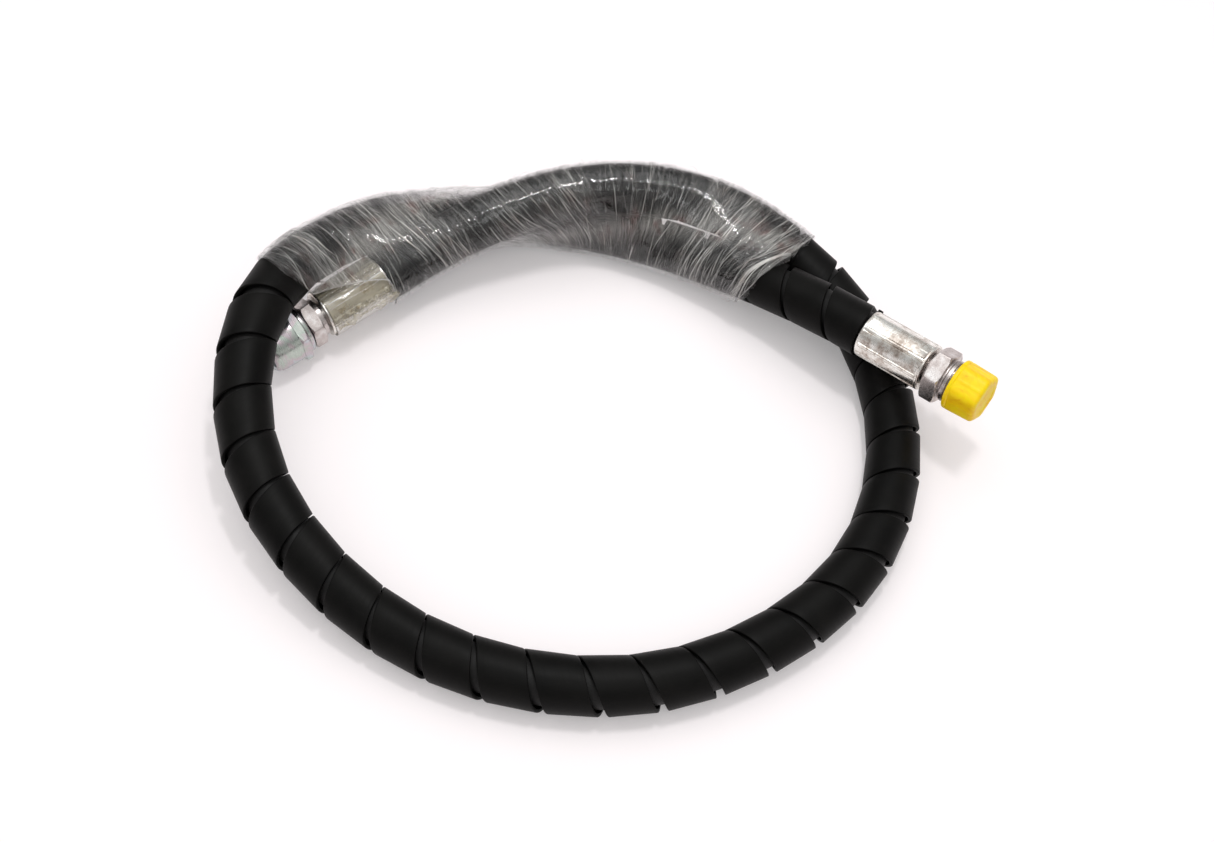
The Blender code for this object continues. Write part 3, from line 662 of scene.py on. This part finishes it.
def strip_section(width, thickness, rounding, edge=0.2):
    """Outline of the strip's section as (share across, share of thickness), from its inner side."""
    corner = [
        ((1.0 - cos(turn)) * rounding / width, 1.0 - (1.0 - sin(turn)) * rounding / thickness)
        for turn in np.arange(5) * pi / 8
    ]
    points = [(0.5, 0.0), (1.0 - edge / width, 0.0), (1.0, edge / thickness)]
    points += [(1.0 - across, up) for across, up in corner]
    points += [(share, 1.0) for share in (0.8, 0.6, 0.4, 0.2)]
    points += corner[::-1] + [(0.0, edge / thickness), (edge / width, 0.0)]
    return np.array(points)


def spiral_guard():
    """Flat strip wound round the hose.

    It stays straight across, so its edges stand off on the outside of a bend.
    """
    start = left_end + FERRULE_LENGTH + GUARD_END_GAP
    end = right_end - FERRULE_LENGTH - GUARD_END_GAP
    count = int((end - start + GUARD_PITCH) / GUARD_PITCH * GUARD_STEPS)
    turn = np.arange(count) / GUARD_STEPS
    middle = start - GUARD_PITCH / 2.0 + GUARD_PITCH * turn
    angle = tau * (turn + GUARD_PHASE)
    place = np.clip(middle, start, end)
    _, _, down, side = route.frames(place)
    outward = -(route.bend(place) * outwards(angle, down, side)).sum(1)
    stretch = 1.0 + GUARD_OUTER_RADIUS * outward
    wander = 0.25 * np.sin(turn * 2.3 + 1.0) + 0.18 * np.sin(turn * 5.1)
    width = np.minimum(
        (GUARD_STRIP_WIDTH + wander) / stretch, GUARD_PITCH - GUARD_LEAST_SLOT / stretch,
    )
    low = np.maximum(middle - width / 2.0, start)
    high = np.minimum(middle + width / 2.0, end)
    flare = np.maximum(outward, 0.0) * (high - low) ** 2 / 8.0
    kept = high - low > GUARD_LEAST_WIDTH
    low, high, angle, flare, turn = (v[kept] for v in (low, high, angle, flare, turn))

    # The last part of the strip springs up from the hose.
    from_end = turn - turn[-1] + GUARD_END_TURNS
    flare += GUARD_END_LIFT * np.clip(from_end / GUARD_END_BLEND, 0.0, 1.0)

    def corner(places, radius):
        point, _, down, side = route.frames(places)
        return point + (radius + flare)[:, None] * outwards(angle, down, side)

    section = strip_section(GUARD_STRIP_WIDTH, GUARD_OUTER_RADIUS - GUARD_INNER_RADIUS, 0.55)
    corners = [
        corner(low, GUARD_INNER_RADIUS), corner(high, GUARD_INNER_RADIUS),
        corner(high, GUARD_OUTER_RADIUS), corner(low, GUARD_OUTER_RADIUS),
    ]
    a, b = section[:, 0], section[:, 1]
    shares = [(1 - a) * (1 - b), a * (1 - b), a * b, (1 - a) * b]
    points = sum(share[None, :, None] * at[:, None] for share, at in zip(shares, corners))
    points[..., 2] = np.maximum(points[..., 2], 0.0)
    length = turn * hypot(tau * GUARD_OUTER_RADIUS, GUARD_PITCH) * MM
    uv = together(length[:, None], (a * GUARD_STRIP_WIDTH * MM)[None])
    last = len(points) * len(section)
    faces = grid_faces(len(points), len(section))
    faces += [list(range(len(section))), list(range(last - len(section), last))]
    return piece(
        "guard_strip", points, faces, GUARD, "guard_plastic", uv=uv, sharp=40.0,
        node="spiral_guard",
    )


cover, cover_places, cover_path = hose_cover()
guard = spiral_guard()


# ---- fittings
def bearing(axis, direction):
    """Angle of a direction round a fitting's axis."""
    local = axis.to_3x3().transposed() @ direction
    return atan2(local.y, local.x)


def crimp_radius(angles, ridge=1.0):
    """Crimped sleeve by angle: eight die marks, slightly flat, with a raised line between."""
    sector = pi / 4
    away = np.abs((angles + sector / 2.0) % sector - sector / 2.0)
    from_line = away * 13.0
    flat = 12.6 + 0.42 * (1.0 - away / (sector / 2.0)) ** 2
    raised = np.clip((0.95 - from_line) / 0.25, 0.0, 1.0)
    groove = np.exp(-((from_line - 1.15) / 0.22) ** 2)
    return flat + ridge * (0.3 * raised - 0.3 * groove)


def ferrule(name, axis, node):
    """Sleeve crimped over the hose."""
    spread = (0.0, 1.6, 3.1, 3.6, 4.1, 4.5, 4.9, 5.3, 5.8, 6.4, 8.0, 11.0, 15.0, 19.0)
    relative = corner_angles(8, spread)
    crimped, mark = crimp_radius(relative), crimp_radius(relative, 0.35)
    bore, rim = 7.9, 13.15
    rows = [
        (-40.0, 12.2), (-39.8, 12.65), (-39.5, 12.9), (-39.1, 13.05), (-38.6, 13.1),
        (-38.1, mark * 0.5 + 6.52), (-37.6, crimped), (-30.0, crimped), (-20.0, crimped),
        (-10.0, crimped), (-2.4, crimped), (-2.0, crimped * 0.6 + rim * 0.4), (-1.7, 13.1),
        (-1.4, 13.16), (-0.75, 13.12), (-0.4, 12.95), (-0.15, 12.7), (0.0, 12.4), (0.0, 12.0),
        (0.0, bore + 0.2), (-0.2, bore), (-2.6, bore), (-2.6, 11.6), (-39.6, 11.6), (-40.0, 11.9),
    ]
    angles = relative + bearing(axis, TO_CAMERA)
    return turned(name, node, rows, angles, ZINC, "zinc_steel", axis)


def tail_rows():
    """Barbed tail in the hose, shoulder inside the ferrule and groove for its collar."""
    rows = [(-36.0, 4.4), (-35.8, 4.6)]
    for k in range(4):
        start = -35.0 + k * 7.5
        rows += [(start, 4.85), (start + 6.3, 5.2), (start + 6.5, 5.15)]
    return rows + [(-4.9, 5.2), (-4.9, 9.6), (-2.9, 9.6), (-2.9, 7.6)]


def left_insert():
    """Stem with a hexagon, a collar that holds the nut and a cone with an O-ring groove."""
    angles = corner_angles(6)
    rows = tail_rows() + [(1.2, 7.6), (1.2, 10.75), (1.45, 11.0), (3.9, 11.0), (4.0, 11.4)]
    rows += hex_rows(4.0, 11.3, angles, 25.0, (12.9, 12.9))
    rows += [
        (11.3, 8.9), (11.6, 8.5), (17.6, 8.5), (17.6, 10.45), (17.85, 10.7), (20.2, 10.7),
        (20.4, 10.5), (20.4, 9.7), (22.8, 9.19), (22.8, 7.64), (25.2, 7.64), (25.2, 8.68),
        (29.7, 7.72), (30.0, 7.45), (30.0, 4.9), (29.4, 4.3), (-36.0, 4.3),
    ]
    turned("left_stem", "left_insert", rows, angles, STEEL, "insert_steel", left_axis)


def o_ring(wire=0.75):
    """O-ring in the groove of the cone, 3.6 mm from the cone's wide end."""
    middle = 9.7 - 3.6 * tan(radians(12.0)) - 1.3 + 0.3 + wire
    rows = [(24.0 + wire * cos(a), middle + wire * sin(a)) for a in even_angles(20)]
    turned("seal_ring", "cone_o_ring", rows, even_angles(72), SEAL, "rubber", left_axis, sharp=0)


def swivel_nut():
    """Union nut: crimped collar, hexagon, round front and threaded bore."""
    angles = corner_angles(6)
    rows = [(11.9, 9.2), (11.9, 12.7), (12.1, 13.4), (12.5, 13.9), (13.0, 14.15), (14.3, 14.15)]
    rows += hex_rows(14.5, 19.9, angles, 30.0, (14.6, 15.6))
    rows += [
        (20.1, 15.25), (24.0, 15.25), (28.0, 15.2), (31.0, 15.0), (33.0, 14.65), (34.6, 14.15),
        (35.6, 13.6), (36.1, 13.15), (36.4, 12.6), (36.3, 12.2), (35.4, 11.55),
    ]
    rows += thread_rows(18.6, 35.2, angles, 11.5, 1.5, -0.75)[::-1]
    rows += [(17.3, 11.4), (17.3, 8.8), (12.0, 8.8)]
    turned(
        "union_nut", "swivel_nut", rows, angles, PASSIVATED, "passivated_steel", left_axis, "nut",
    )


def right_insert():
    """Stem with a hexagon, a collar and a male thread with a 24 degree mouth."""
    angles = corner_angles(6)
    rows = tail_rows() + [(0.6, 7.6), (0.6, 9.4), (0.8, 9.6), (2.3, 9.6), (2.4, 10.0)]
    rows += hex_rows(2.4, 11.2, angles, 27.0, (14.2, 14.2))
    rows += [
        (11.2, 11.4), (11.4, 11.05), (11.7, 10.95), (12.2, 11.0), (12.6, 11.55), (12.9, 11.85),
        (13.9, 11.88),
    ]
    rows += thread_rows(14.2, 27.1, angles, 11.85, 1.5, 0.85)
    rows += [
        (27.4, 11.5), (28.0, 10.9), (28.0, 9.3), (27.7, 8.95), (11.2, 5.4), (11.2, 4.3),
        (-36.0, 4.3),
    ]
    return turned("male_stem", "right_insert", rows, angles, STEEL, "insert_steel", right_axis)


def protective_cap():
    """Plastic cap: rim flange, tapering hexagon with soft corners, dished end."""
    angles = corner_angles(6)

    start, end = 18.6, 32.6

    def body(place, inset=0.0):
        share = (place - start) / (end - start)
        flats = hexagon(angles, 26.5 - 1.2 * share, 0.35)
        ribs = 0.22 * np.exp(-(((angles % (pi / 3)) - pi / 6) / 0.035) ** 2)
        return least(0.3, flats + ribs, 14.35 - 0.55 * share) - inset

    rows = [
        (16.2, 12.3), (16.2, 13.7), (16.3, 14.0), (16.6, 14.15), (18.0, 14.15), (18.3, 14.0),
        (18.45, body(18.6) * 0.3 + 9.6), (18.7, body(18.7, 0.1)),
    ]
    rows += [(place, body(place)) for place in (18.9, 19.4, 21.0, 24.0, 27.0, 30.0, 31.8)]
    rows += [
        (32.6, body(32.6, 0.1)), (33.3, body(33.3, 0.45)), (33.8, body(33.8, 1.0)),
        (34.1, body(34.1, 1.8)), (34.2, body(34.2, 2.8)), (34.2, 9.6), (34.1, 8.9), (33.8, 8.4),
        (33.7, 7.6), (33.75, 4.0), (33.85, 1.2), (33.9, 0.05), (32.2, 0.05), (32.2, 10.5),
        (31.2, 12.1), (30.0, 12.25), (16.5, 12.25),
    ]
    return turned(
        "dust_cap", "protective_cap", rows, angles, YELLOW, "yellow_plastic", right_axis, "cap", 0,
    )


ferrule("left_sleeve", left_axis, "left_ferrule")
right_sleeve = ferrule("right_sleeve", right_axis, "right_ferrule")
left_insert()
o_ring()
swivel_nut()
male = right_insert()
cap = protective_cap()


# ---- film
def value_noise(seed, *place):
    """Smooth noise from 0 to 1 at a place of three values on a unit lattice."""
    table = np.random.default_rng(seed).random((64, 64, 64))
    place = [np.asarray(v, float) for v in (*place, 0.0, 0.0)[:3]]
    whole = [np.floor(v).astype(int) for v in place]
    part = [v - w for v, w in zip(place, whole)]
    part = [p * p * (3.0 - 2.0 * p) for p in part]
    total = 0.0
    for corner in np.ndindex(2, 2, 2):
        x, y, z = (p if far else 1 - p for far, p in zip(corner, part))
        total = total + x * y * z * table[tuple((w + far) % 64 for far, w in zip(corner, whole))]
    return total


def ridged(seed, sharpness, *place):
    """Thin ridges, 1 on a crest."""
    return (1.0 - np.abs(2.0 * value_noise(seed, *place) - 1.0)) ** sharpness


def film_outlines(places, count):
    """Closed outlines round both runs of hose, each from its lowest point."""
    point_a, along_a, _, _ = route.frames(places)
    second = np.arange(route.total / 2.0, route.total, 0.5)
    gaps = np.linalg.norm(route.at(second)[None] - point_a[:, None], axis=2)
    point_b, along_b, _, _ = route.frames(second[gaps.argmin(1)])
    outlines = []
    for pa, pb, ta, tb in zip(point_a, point_b, along_a, along_b):
        normal = unit(ta + tb)
        middle = (pa + pb) / 2.0
        pa = pa + ta * np.dot(middle - pa, normal) / np.dot(ta, normal)
        pb = pb + tb * np.dot(middle - pb, normal) / np.dot(tb, normal)
        across = unit(pb - pa)
        over = np.cross(normal, across)
        made = [
            centre + FILM_RADIUS * (cos(angle) * across + sin(angle) * over)
            for centre, turn in ((pa, pi / 2.0), (pb, -pi / 2.0))
            for angle in turn + np.linspace(0.0, pi, 40)
        ]
        made = np.array(made + made[:1])
        length = lengths_along(made)
        low = length[made[:-1, 2].argmin()]
        at = (low + length[-1] * np.arange(count) / count) % length[-1]
        outlines.append(np.stack([np.interp(at, length, made[:, k]) for k in range(3)], -1))
    return np.array(outlines)


HOSE_RUNS = (
    route.at(np.arange(0.0, FILM_PLACES[1] + 60.0, 2.0)),
    route.at(np.arange(1000.0, route.total - 20.0, 2.0)),
)


def push_out(points, radius):
    """Points moved out of both runs of hose and off the floor, and how far they stood off."""
    flat = points.reshape(-1, 3).copy()
    off = np.full(len(flat), 1e3)
    for run in HOSE_RUNS:
        for start in range(0, len(flat), 8000):
            part = flat[start:start + 8000]
            away = part[:, None] - run[None]
            distance = np.linalg.norm(away, axis=2)
            near = distance.argmin(1)
            rows = np.arange(len(part))
            reach = distance[rows, near]
            part += away[rows, near] / reach[:, None] * np.maximum(radius - reach, 0.0)[:, None]
            off[start:start + 8000] = np.minimum(off[start:start + 8000], reach - radius)
    flat[:, 2] = np.maximum(flat[:, 2], 0.35)
    return flat.reshape(points.shape), off.reshape(points.shape[:-1])


def tightened(places, count, rounds):
    """The film pulled tight over both runs, so that it bridges their hollows."""
    grid = film_outlines(places, count)
    for _ in range(rounds):
        around = (np.roll(grid, 1, 1) + np.roll(grid, -1, 1)) / 2.0
        lengthways = grid.copy()
        lengthways[1:-1] = (grid[2:] + grid[:-2]) / 2.0
        grid = grid + 0.35 * (around - grid) + 0.6 * (lengthways - grid)
        grid = push_out(grid, FILM_RADIUS)[0]
    return grid


film_base = tightened(np.linspace(*FILM_PLACES, 110), 72, 120)


def smooth_shares(t):
    """Shares of four points in a row for the smooth curve between the middle two."""
    return (
        0.5 * (-t + 2 * t ** 2 - t ** 3), 0.5 * (2 - 5 * t ** 2 + 3 * t ** 3),
        0.5 * (t + 4 * t ** 2 - 3 * t ** 3), 0.5 * (t ** 3 - t ** 2),
    )


def on_film(places, turns):
    """Points of the tight film at places along the hose and at turns round it, 0 to 1."""
    rows = (places - FILM_PLACES[0]) / (FILM_PLACES[1] - FILM_PLACES[0]) * (len(film_base) - 1)
    columns = turns * film_base.shape[1]
    r = np.clip(np.floor(rows).astype(int), 0, len(film_base) - 2)
    c = np.floor(columns).astype(int)
    total = 0.0
    for i, a in enumerate(smooth_shares(rows - r)):
        row = np.clip(r + i - 1, 0, len(film_base) - 1)
        for j, b in enumerate(smooth_shares(columns - c)):
            total = total + (a * b)[..., None] * film_base[row, (c + j - 1) % film_base.shape[1]]
    return total


def film_frames(places, turns):
    """Points of the tight film and its outward normals."""
    point = on_film(places, turns)
    lengthways = on_film(places + 1.5, turns) - on_film(places - 1.5, turns)
    around = on_film(places, turns + 0.01) - on_film(places, turns - 0.01)
    return point, unit(np.cross(around, lengthways))


def lean(places):
    """How far a crease shifts along the hose for each millimetre round it."""
    return np.interp(places, *zip(*FILM_LEANS))


def creased_place(places, turns):
    """A place that stays the same along each crease."""
    swing = FILM_GIRTH / tau * np.sin(tau * (turns - FILM_FRONT))
    return places - lean(places) * swing


def film_layer(name, offset, seed, node=None):
    """One layer of film, with its creases as low ridges."""
    rows, columns = FILM_GRID
    turns = np.linspace(0.0, 1.0, columns)[None]
    ring = [np.cos(tau * turns), np.sin(tau * turns)]

    def over(lengthways, wide):
        return lengthways, ring[0] / wide + 20, ring[1] / wide + 20

    def torn(stops, number):
        rough = value_noise(number, ring[0] * 4 + 20, ring[1] * 4 + 20)
        return np.interp(turns, *zip(*stops)) + 5.0 * (rough - 0.5)

    first, last = torn(FILM_LEFT_EDGE, seed + 4), torn(FILM_RIGHT_EDGE, seed + 6)
    places = first + (last - first) * np.linspace(0.0, 1.0, rows)[:, None]
    turns = np.broadcast_to(turns, places.shape)
    grid, normal = film_frames(places, turns)
    grid, off = push_out(grid, FILM_RADIUS - 0.1)
    web = np.clip((off - 1.2) / 5.0, 0.0, 1.0)
    mark = creased_place(places, turns)
    mark = mark + 5.0 * value_noise(seed + 5, places / 40.0, ring[0] * 1.5 + 9, ring[1] * 1.5 + 9)
    ring = [25.0 * v for v in ring]
    fine = ridged(seed, 4.0, *over(mark / 3.4, 22.0))
    coarse = ridged(seed + 1, 3.0, *over(mark / 8.5, 30.0))
    crumple = ridged(seed + 2, 2.0, *over(places / 11.0, 9.0))
    where = value_noise(seed + 3, *over(places / 24.0, 22.0))
    where = np.clip((where - 0.25) / 0.5, 0.0, 1.0)
    crease = np.clip(0.5 * fine * where + 0.35 * coarse * where ** 2, 0.0, 1.0)
    lift = offset + 0.5 * fine * (0.3 + where) + 0.8 * coarse * where + 0.3 * crumple
    grid = grid + normal * lift[..., None]
    grid[..., 2] = np.maximum(grid[..., 2], 0.1 + 0.15 * offset)
    return piece(
        name, grid, grid_faces(rows, columns, ring=False), FILM, "clear_film", sharp=0,
        uv=together(mark * MM, turns * FILM_GIRTH * MM), solid=False, node=node, crease=crease,
        web=web,
    )


def inside_edges(places, turns):
    """Places kept 1 mm inside the film's edges."""
    first, last = (
        np.interp(turns % 1.0, *zip(*edge)) for edge in (FILM_LEFT_EDGE, FILM_RIGHT_EDGE)
    )
    return np.clip(places, first + 1.0, last - 1.0)


def ribbons(name, lines, look):
    """Thin gathered folds of film: ribbons with a raised middle that lie on the sheet.

    Each line is (places, turns, width, height above the hose's wrap, strength), where the
    first two and the height are arrays along it.
    """
    points, faces, uv, crease = [], [], [], []
    total = 0
    for number, (places, turns, width, height, strength) in enumerate(lines):
        line, out = film_frames(inside_edges(places, turns), turns)
        line = push_out(line, FILM_RADIUS)[0]
        across = unit(np.cross(unit(np.gradient(line, axis=0)), out))
        t = np.linspace(0.0, 1.0, len(line))
        taper = np.sin(pi * np.clip(t, 0.02, 0.98)) ** 0.35
        half = (0.5 * width * taper)[:, None]
        low = line + out * height[:, None]
        points += np.stack([low - half * across, low + out * half, low + half * across], 1).tolist()
        faces += grid_faces(len(line), 3, ring=False, first=total)
        total += 3 * len(line)
        length = lengths_along(line)
        shift = number * 7.3 + np.array([0.0, 0.5, 1.0]) * width
        uv.append(together(shift[None], length[:, None]).reshape(-1, 2) * MM)
        shown = strength * (0.3 + 0.7 * taper)[:, None] * np.array([0.1, 1.0, 0.1])
        crease.append(shown.ravel())
    points = np.array(points)
    points[..., 2] = np.maximum(points[..., 2], 0.2)
    return piece(
        name, points, faces, look, "clear_film", uv=np.concatenate(uv), sharp=0, solid=False,
        crease=np.concatenate(crease), web=np.zeros(total),
    )


def fold_lines(count, seed):
    """Folds that follow the creases, thicker and denser in some places."""
    source = np.random.default_rng(seed)
    bands = source.uniform(25.0, 338.0, 26)
    made = []
    for _ in range(count):
        if source.random() < 0.6:
            place = source.choice(bands) + source.normal(0.0, 2.2)
        else:
            place = source.uniform(22.0, 340.0)
        density = np.interp(place, (150, 200, 225, 250, 265), (1.0, 0.7, 0.35, 0.5, 1.0))
        if source.random() > density:
            continue
        reach = source.uniform(0.06, 0.42)
        start = source.uniform(0.0, 1.0)
        steps = int(10 + 70 * reach)
        turns = start + reach * np.linspace(0.0, 1.0, steps)
        slope = lean(place) + source.normal(0.0, 0.13)
        swing = np.sin(tau * (turns - FILM_FRONT)) - np.sin(tau * (start - FILM_FRONT))
        wander = value_noise(31, turns * 9.0, place) - 0.5
        places = place + slope * FILM_GIRTH / tau * swing + 2.6 * wander
        if places.min() < 15.0 or places.max() > 365.0:
            continue
        strength = 0.15 + 0.85 * source.random() ** 2.0
        width = source.uniform(0.24, 0.5) + 0.5 * source.random() ** 6
        made.append((places, turns, width, np.full(steps, source.uniform(1.0, 1.7)), strength))
    return made


def rope_lines(count, seed):
    """The gathered edge at the right end: folds that run together at its top."""
    source = np.random.default_rng(seed)
    made = []
    for _ in range(count):
        t = np.linspace(0.0, 1.0, 40)
        spread = source.normal(0.0, 1.0)
        turns = 0.47 + 0.36 * t + 0.006 * source.normal() * np.sin(pi * t)
        places = 341.0 - 24.0 * t ** 0.8 + spread * (0.4 + 2.6 * t) + 0.5 * np.sin(9.0 * t + spread)
        height = 1.5 + 0.5 * source.random() + 0.4 * np.sin(pi * t)
        width = source.uniform(0.25, 0.55)
        made.append((places, turns, width, height, source.uniform(0.4, 1.0)))
    for _ in range(count // 2):
        t = np.linspace(0.0, 1.0, 30)
        turns = 0.46 + source.uniform(0.2, 0.34) * t
        places = 341.0 - source.uniform(2.0, 14.0) * t
        width = source.uniform(0.15, 0.3)
        made.append((places, turns, width, 1.4 + 0.2 * t, source.uniform(0.2, 0.6)))
    return made


def loose_lines(seed):
    """Threads of torn film that stand a little off the sheet."""
    source = np.random.default_rng(seed)
    made = []
    for place, turn in ((75, 0.37), (105, 0.33), (112, 0.36), (150, 0.38), (158, 0.36), (165, 0.4),
                        (205, 0.42), (262, 0.4), (270, 0.42), (120, 0.86), (310, 0.84)):
        for _ in range(3):
            t = np.linspace(0.0, 1.0, 24)
            turns = turn + source.uniform(-0.02, 0.02) + source.uniform(0.03, 0.09) * t
            places = place + source.uniform(-3.0, 3.0) + source.uniform(-16.0, 16.0) * t
            height = 1.2 + source.uniform(0.6, 2.2) * np.sin(pi * t) ** 1.5
            width = source.uniform(0.15, 0.35)
            made.append((places, turns, width, height, source.uniform(0.35, 0.8)))
    return made


film_inner = film_layer("film_inner", 0.1, 100)
film_outer = film_layer("film_outer", 0.9, 200, "stretch_film")
folds = ribbons("film_folds", fold_lines(1700, 5) + rope_lines(26, 6) + loose_lines(7), CREASE)


# ---- tape
def tape_wrap():
    """Clear tape wound round the left ferrule, a little more than two turns."""
    turns = np.linspace(0.0, TAPE_TURNS, 260)[:, None]
    angle = bearing(left_axis, TO_CAMERA) + tau * (turns - TAPE_TURNS)
    start = -38.0 + 1.6 * (value_noise(61, turns * 7.0) - 0.5)
    end = -1.6 + (value_noise(62, turns * 9.0, 4) - 0.5)
    place = start + (end - start) * np.linspace(0.0, 1.0, 60)
    ridge = ridged(63, 5.0, turns * 15.0, place / 60.0 + 9)
    bubble = value_noise(64, turns * 24.0, place / 4.0 + 20)
    points = polar(13.62 + 0.28 * turns + 0.3 * ridge + 0.16 * bubble, angle, place)
    # Pale line where the tape's end laps over: a real edge, made pale as a painted highlight along
    # the ferrule's front.
    lap_highlight = 1.6 * np.exp(-((TAPE_TURNS - turns) * TAPE_GIRTH / 0.9) ** 2)
    lap_highlight = lap_highlight * np.clip(1.6 * value_noise(65, 0.0, place / 5.0 + 70), 0.5, 1.0)
    return piece(
        "tape_wrap", points, grid_faces(*place.shape, ring=False), TAPE, "clear_tape",
        axis=left_axis, uv=together(turns * TAPE_GIRTH * MM, place * MM), sharp=0, solid=False,
        node="clear_tape", web=0.8 * bubble,
        crease=np.clip(0.5 * ridge + 0.25 * bubble, 0.0, 1.0) + lap_highlight,
    )


def tape_fin():
    """Where two turns of the tape meet face to face: a crumpled fin with a ragged edge."""
    along = np.linspace(0.0, 1.0, 150)[:, None]
    out = np.linspace(0.0, 1.0, 24)[None]
    middle = bearing(left_axis, TO_CAMERA)
    below = bearing(left_axis, Vector((0.695, -0.592, -0.407)))
    ragged = value_noise(71, along * 14.0) - 0.5
    fall = 7.9 + (7.0 + 2.6 * ragged) * out
    lumps = value_noise(72, along * 18.0, out * 4.0, 3.0) - 0.5
    lumps = lumps + 0.6 * (value_noise(73, along * 41.0, out * 9.0, 3.0) - 0.5)
    rise = 12.2 - 3.6 * out ** 1.5 + 3.0 * lumps * np.minimum(3.0 * out, 1.0)
    place = -1.8 - (37.5 + 2.0 * out) * along
    x = fall * cos(below) + rise * cos(middle)
    y = fall * sin(below) + rise * sin(middle)
    edge = np.exp(-((1.0 - out) / 0.12) ** 2) + 0.7 * np.exp(-(out / 0.08) ** 2)
    crease = np.clip(0.8 * edge + 1.8 * np.clip(lumps, 0.0, 1.0), 0.0, 1.3)
    return piece(
        "tape_fin", together(x, y, place), grid_faces(*x.shape, ring=False), TAPE, "clear_tape",
        axis=left_axis, uv=together(fall * MM, place * MM), sharp=0, solid=False, crease=crease,
        web=np.full(x.shape, 0.7),
    )


def tape_highlight_lines():
    """Painted highlights: a pale line along the ferrule's front at the tape's outer end, and two
    fainter lines by it.
    """
    place = np.linspace(-37.4, -2.2, 120)
    points, crease, faces = [], [], []
    for away, width, strength in ((0.0, 0.75, 1.0), (2.3, 0.35, 0.45), (-3.2, 0.4, 0.5)):
        wander = 0.25 * (value_noise(66, place / 6.0 + 40, away + 9) - 0.5)
        shown = strength * np.clip(value_noise(67, place / 4.0 + 40) + 0.35, 0, 1)
        faces += grid_faces(3, len(place), ring=False, first=len(points) * len(place))
        for share, height in ((-0.5, 14.45), (0.0, 14.7), (0.5, 14.45)):
            angle = bearing(left_axis, TO_CAMERA) + (away + wander + share * width) / 14.5
            points.append(polar(height, angle, place))
            crease.append(shown * (0.4 if share else 1.0))
    lines = np.arange(float(len(points)))[:, None]
    return piece(
        "tape_highlight_lines", points, faces, CREASE, "clear_tape", axis=left_axis, sharp=0, solid=False,
        uv=together(place, lines) * MM, crease=crease, web=np.zeros((len(points), len(place))),
    )


# edge holds the pale ribbons that paint highlight lines along the taped ferrule's front.
tape, fin, edge = tape_wrap(), tape_fin(), tape_highlight_lines()


# ---- inner pieces that stay
for node_name, look in (
    ("inner_tube", LINING), ("inner_wire_braid", BRAID), ("separation_layer", LINING),
    ("outer_wire_braid", BRAID),
):
    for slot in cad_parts[node_name].material_slots:
        slot.material = look


# ---- stage and lights
def stage():
    """Pale floor that turns up into a backdrop.  It shows white and keeps the shadow."""
    angles = even_angles(96)
    profile = ((0.0, -0.0002), (2.6, -0.0002), (3.0, 0.06), (3.4, 0.25), (3.7, 0.6), (3.9, 1.25))
    corners = np.concatenate([polar(radius, angles, height) for radius, height in profile])
    mesh = bpy.data.meshes.new("floor")
    mesh.from_pydata(corners.tolist(), [], grid_faces(len(profile), len(angles)))
    mesh.shade_smooth()
    floor = in_scene("floor", mesh)
    look = Look("floor_white", (0.8, 0.75, 0.757), Roughness=0.9, Specular_IOR_Level=0.0)
    path = look.add("ShaderNodeLightPath", {})
    seen = path.outputs["Is Camera Ray"]
    for ray in ("Is Glossy Ray", "Is Transmission Ray"):
        seen = look.maths("MAXIMUM", seen, path.outputs[ray])
    reach = look.add("ShaderNodeVectorMath", {0: look.place()}, operation="LENGTH")
    strength = look.levels(reach.outputs["Value"], 0.9, 2.5, 0.24, 0.3)
    glow = look.add("ShaderNodeEmission", {"Strength": look.times(seen, strength)})
    both = look.add("ShaderNodeAddShader", {0: look.shader.outputs[0], 1: glow.outputs[0]})
    mesh.materials.append(look.finish(both.outputs[0]))

    world = bpy.data.worlds.new("studio")
    bpy.context.scene.world = world
    world.use_nodes = True
    nodes, links = world.node_tree.nodes, world.node_tree.links
    direction = nodes.new("ShaderNodeSeparateXYZ")
    links.new(nodes.new("ShaderNodeTexCoord").outputs["Generated"], direction.inputs[0])
    height = nodes.new("ShaderNodeMapRange")
    links.new(direction.outputs["Z"], height.inputs["Value"])
    for socket, value in (("From Min", 0.02), ("From Max", 0.9), ("To Min", 0.04), ("To Max", 0.9)):
        height.inputs[socket].default_value = value
    links.new(height.outputs[0], nodes["Background"].inputs["Strength"])
    nodes["Background"].inputs["Color"].default_value = (*WHITE, 1.0)


def softbox(name, place, aim, size, power):
    """Rectangular lamp, aimed at a point."""
    data = bpy.data.lights.new(name, "AREA")
    data.shape = "RECTANGLE"
    data.size, data.size_y = size
    data.energy = power
    turn = (Vector(aim) - Vector(place)).to_track_quat("-Z", "Y").to_matrix()
    in_scene(name, data, Matrix.Translation(place) @ turn.to_4x4())


stage()
softbox("top_light", (-0.1, 0.3, 1.15), (0.0, 0.03, 0.0), (1.2, 0.9), 2.8)
softbox("key_light", (0.05, 0.12, 1.3), (0.0, 0.1, 0.0), (0.2, 0.08), 3.6)
softbox("front_light", (0.12, -0.62, 1.1), (0.05, 0.05, 0.0), (0.4, 0.25), 0.9)
bpy.context.scene.view_settings.view_transform = "Standard"
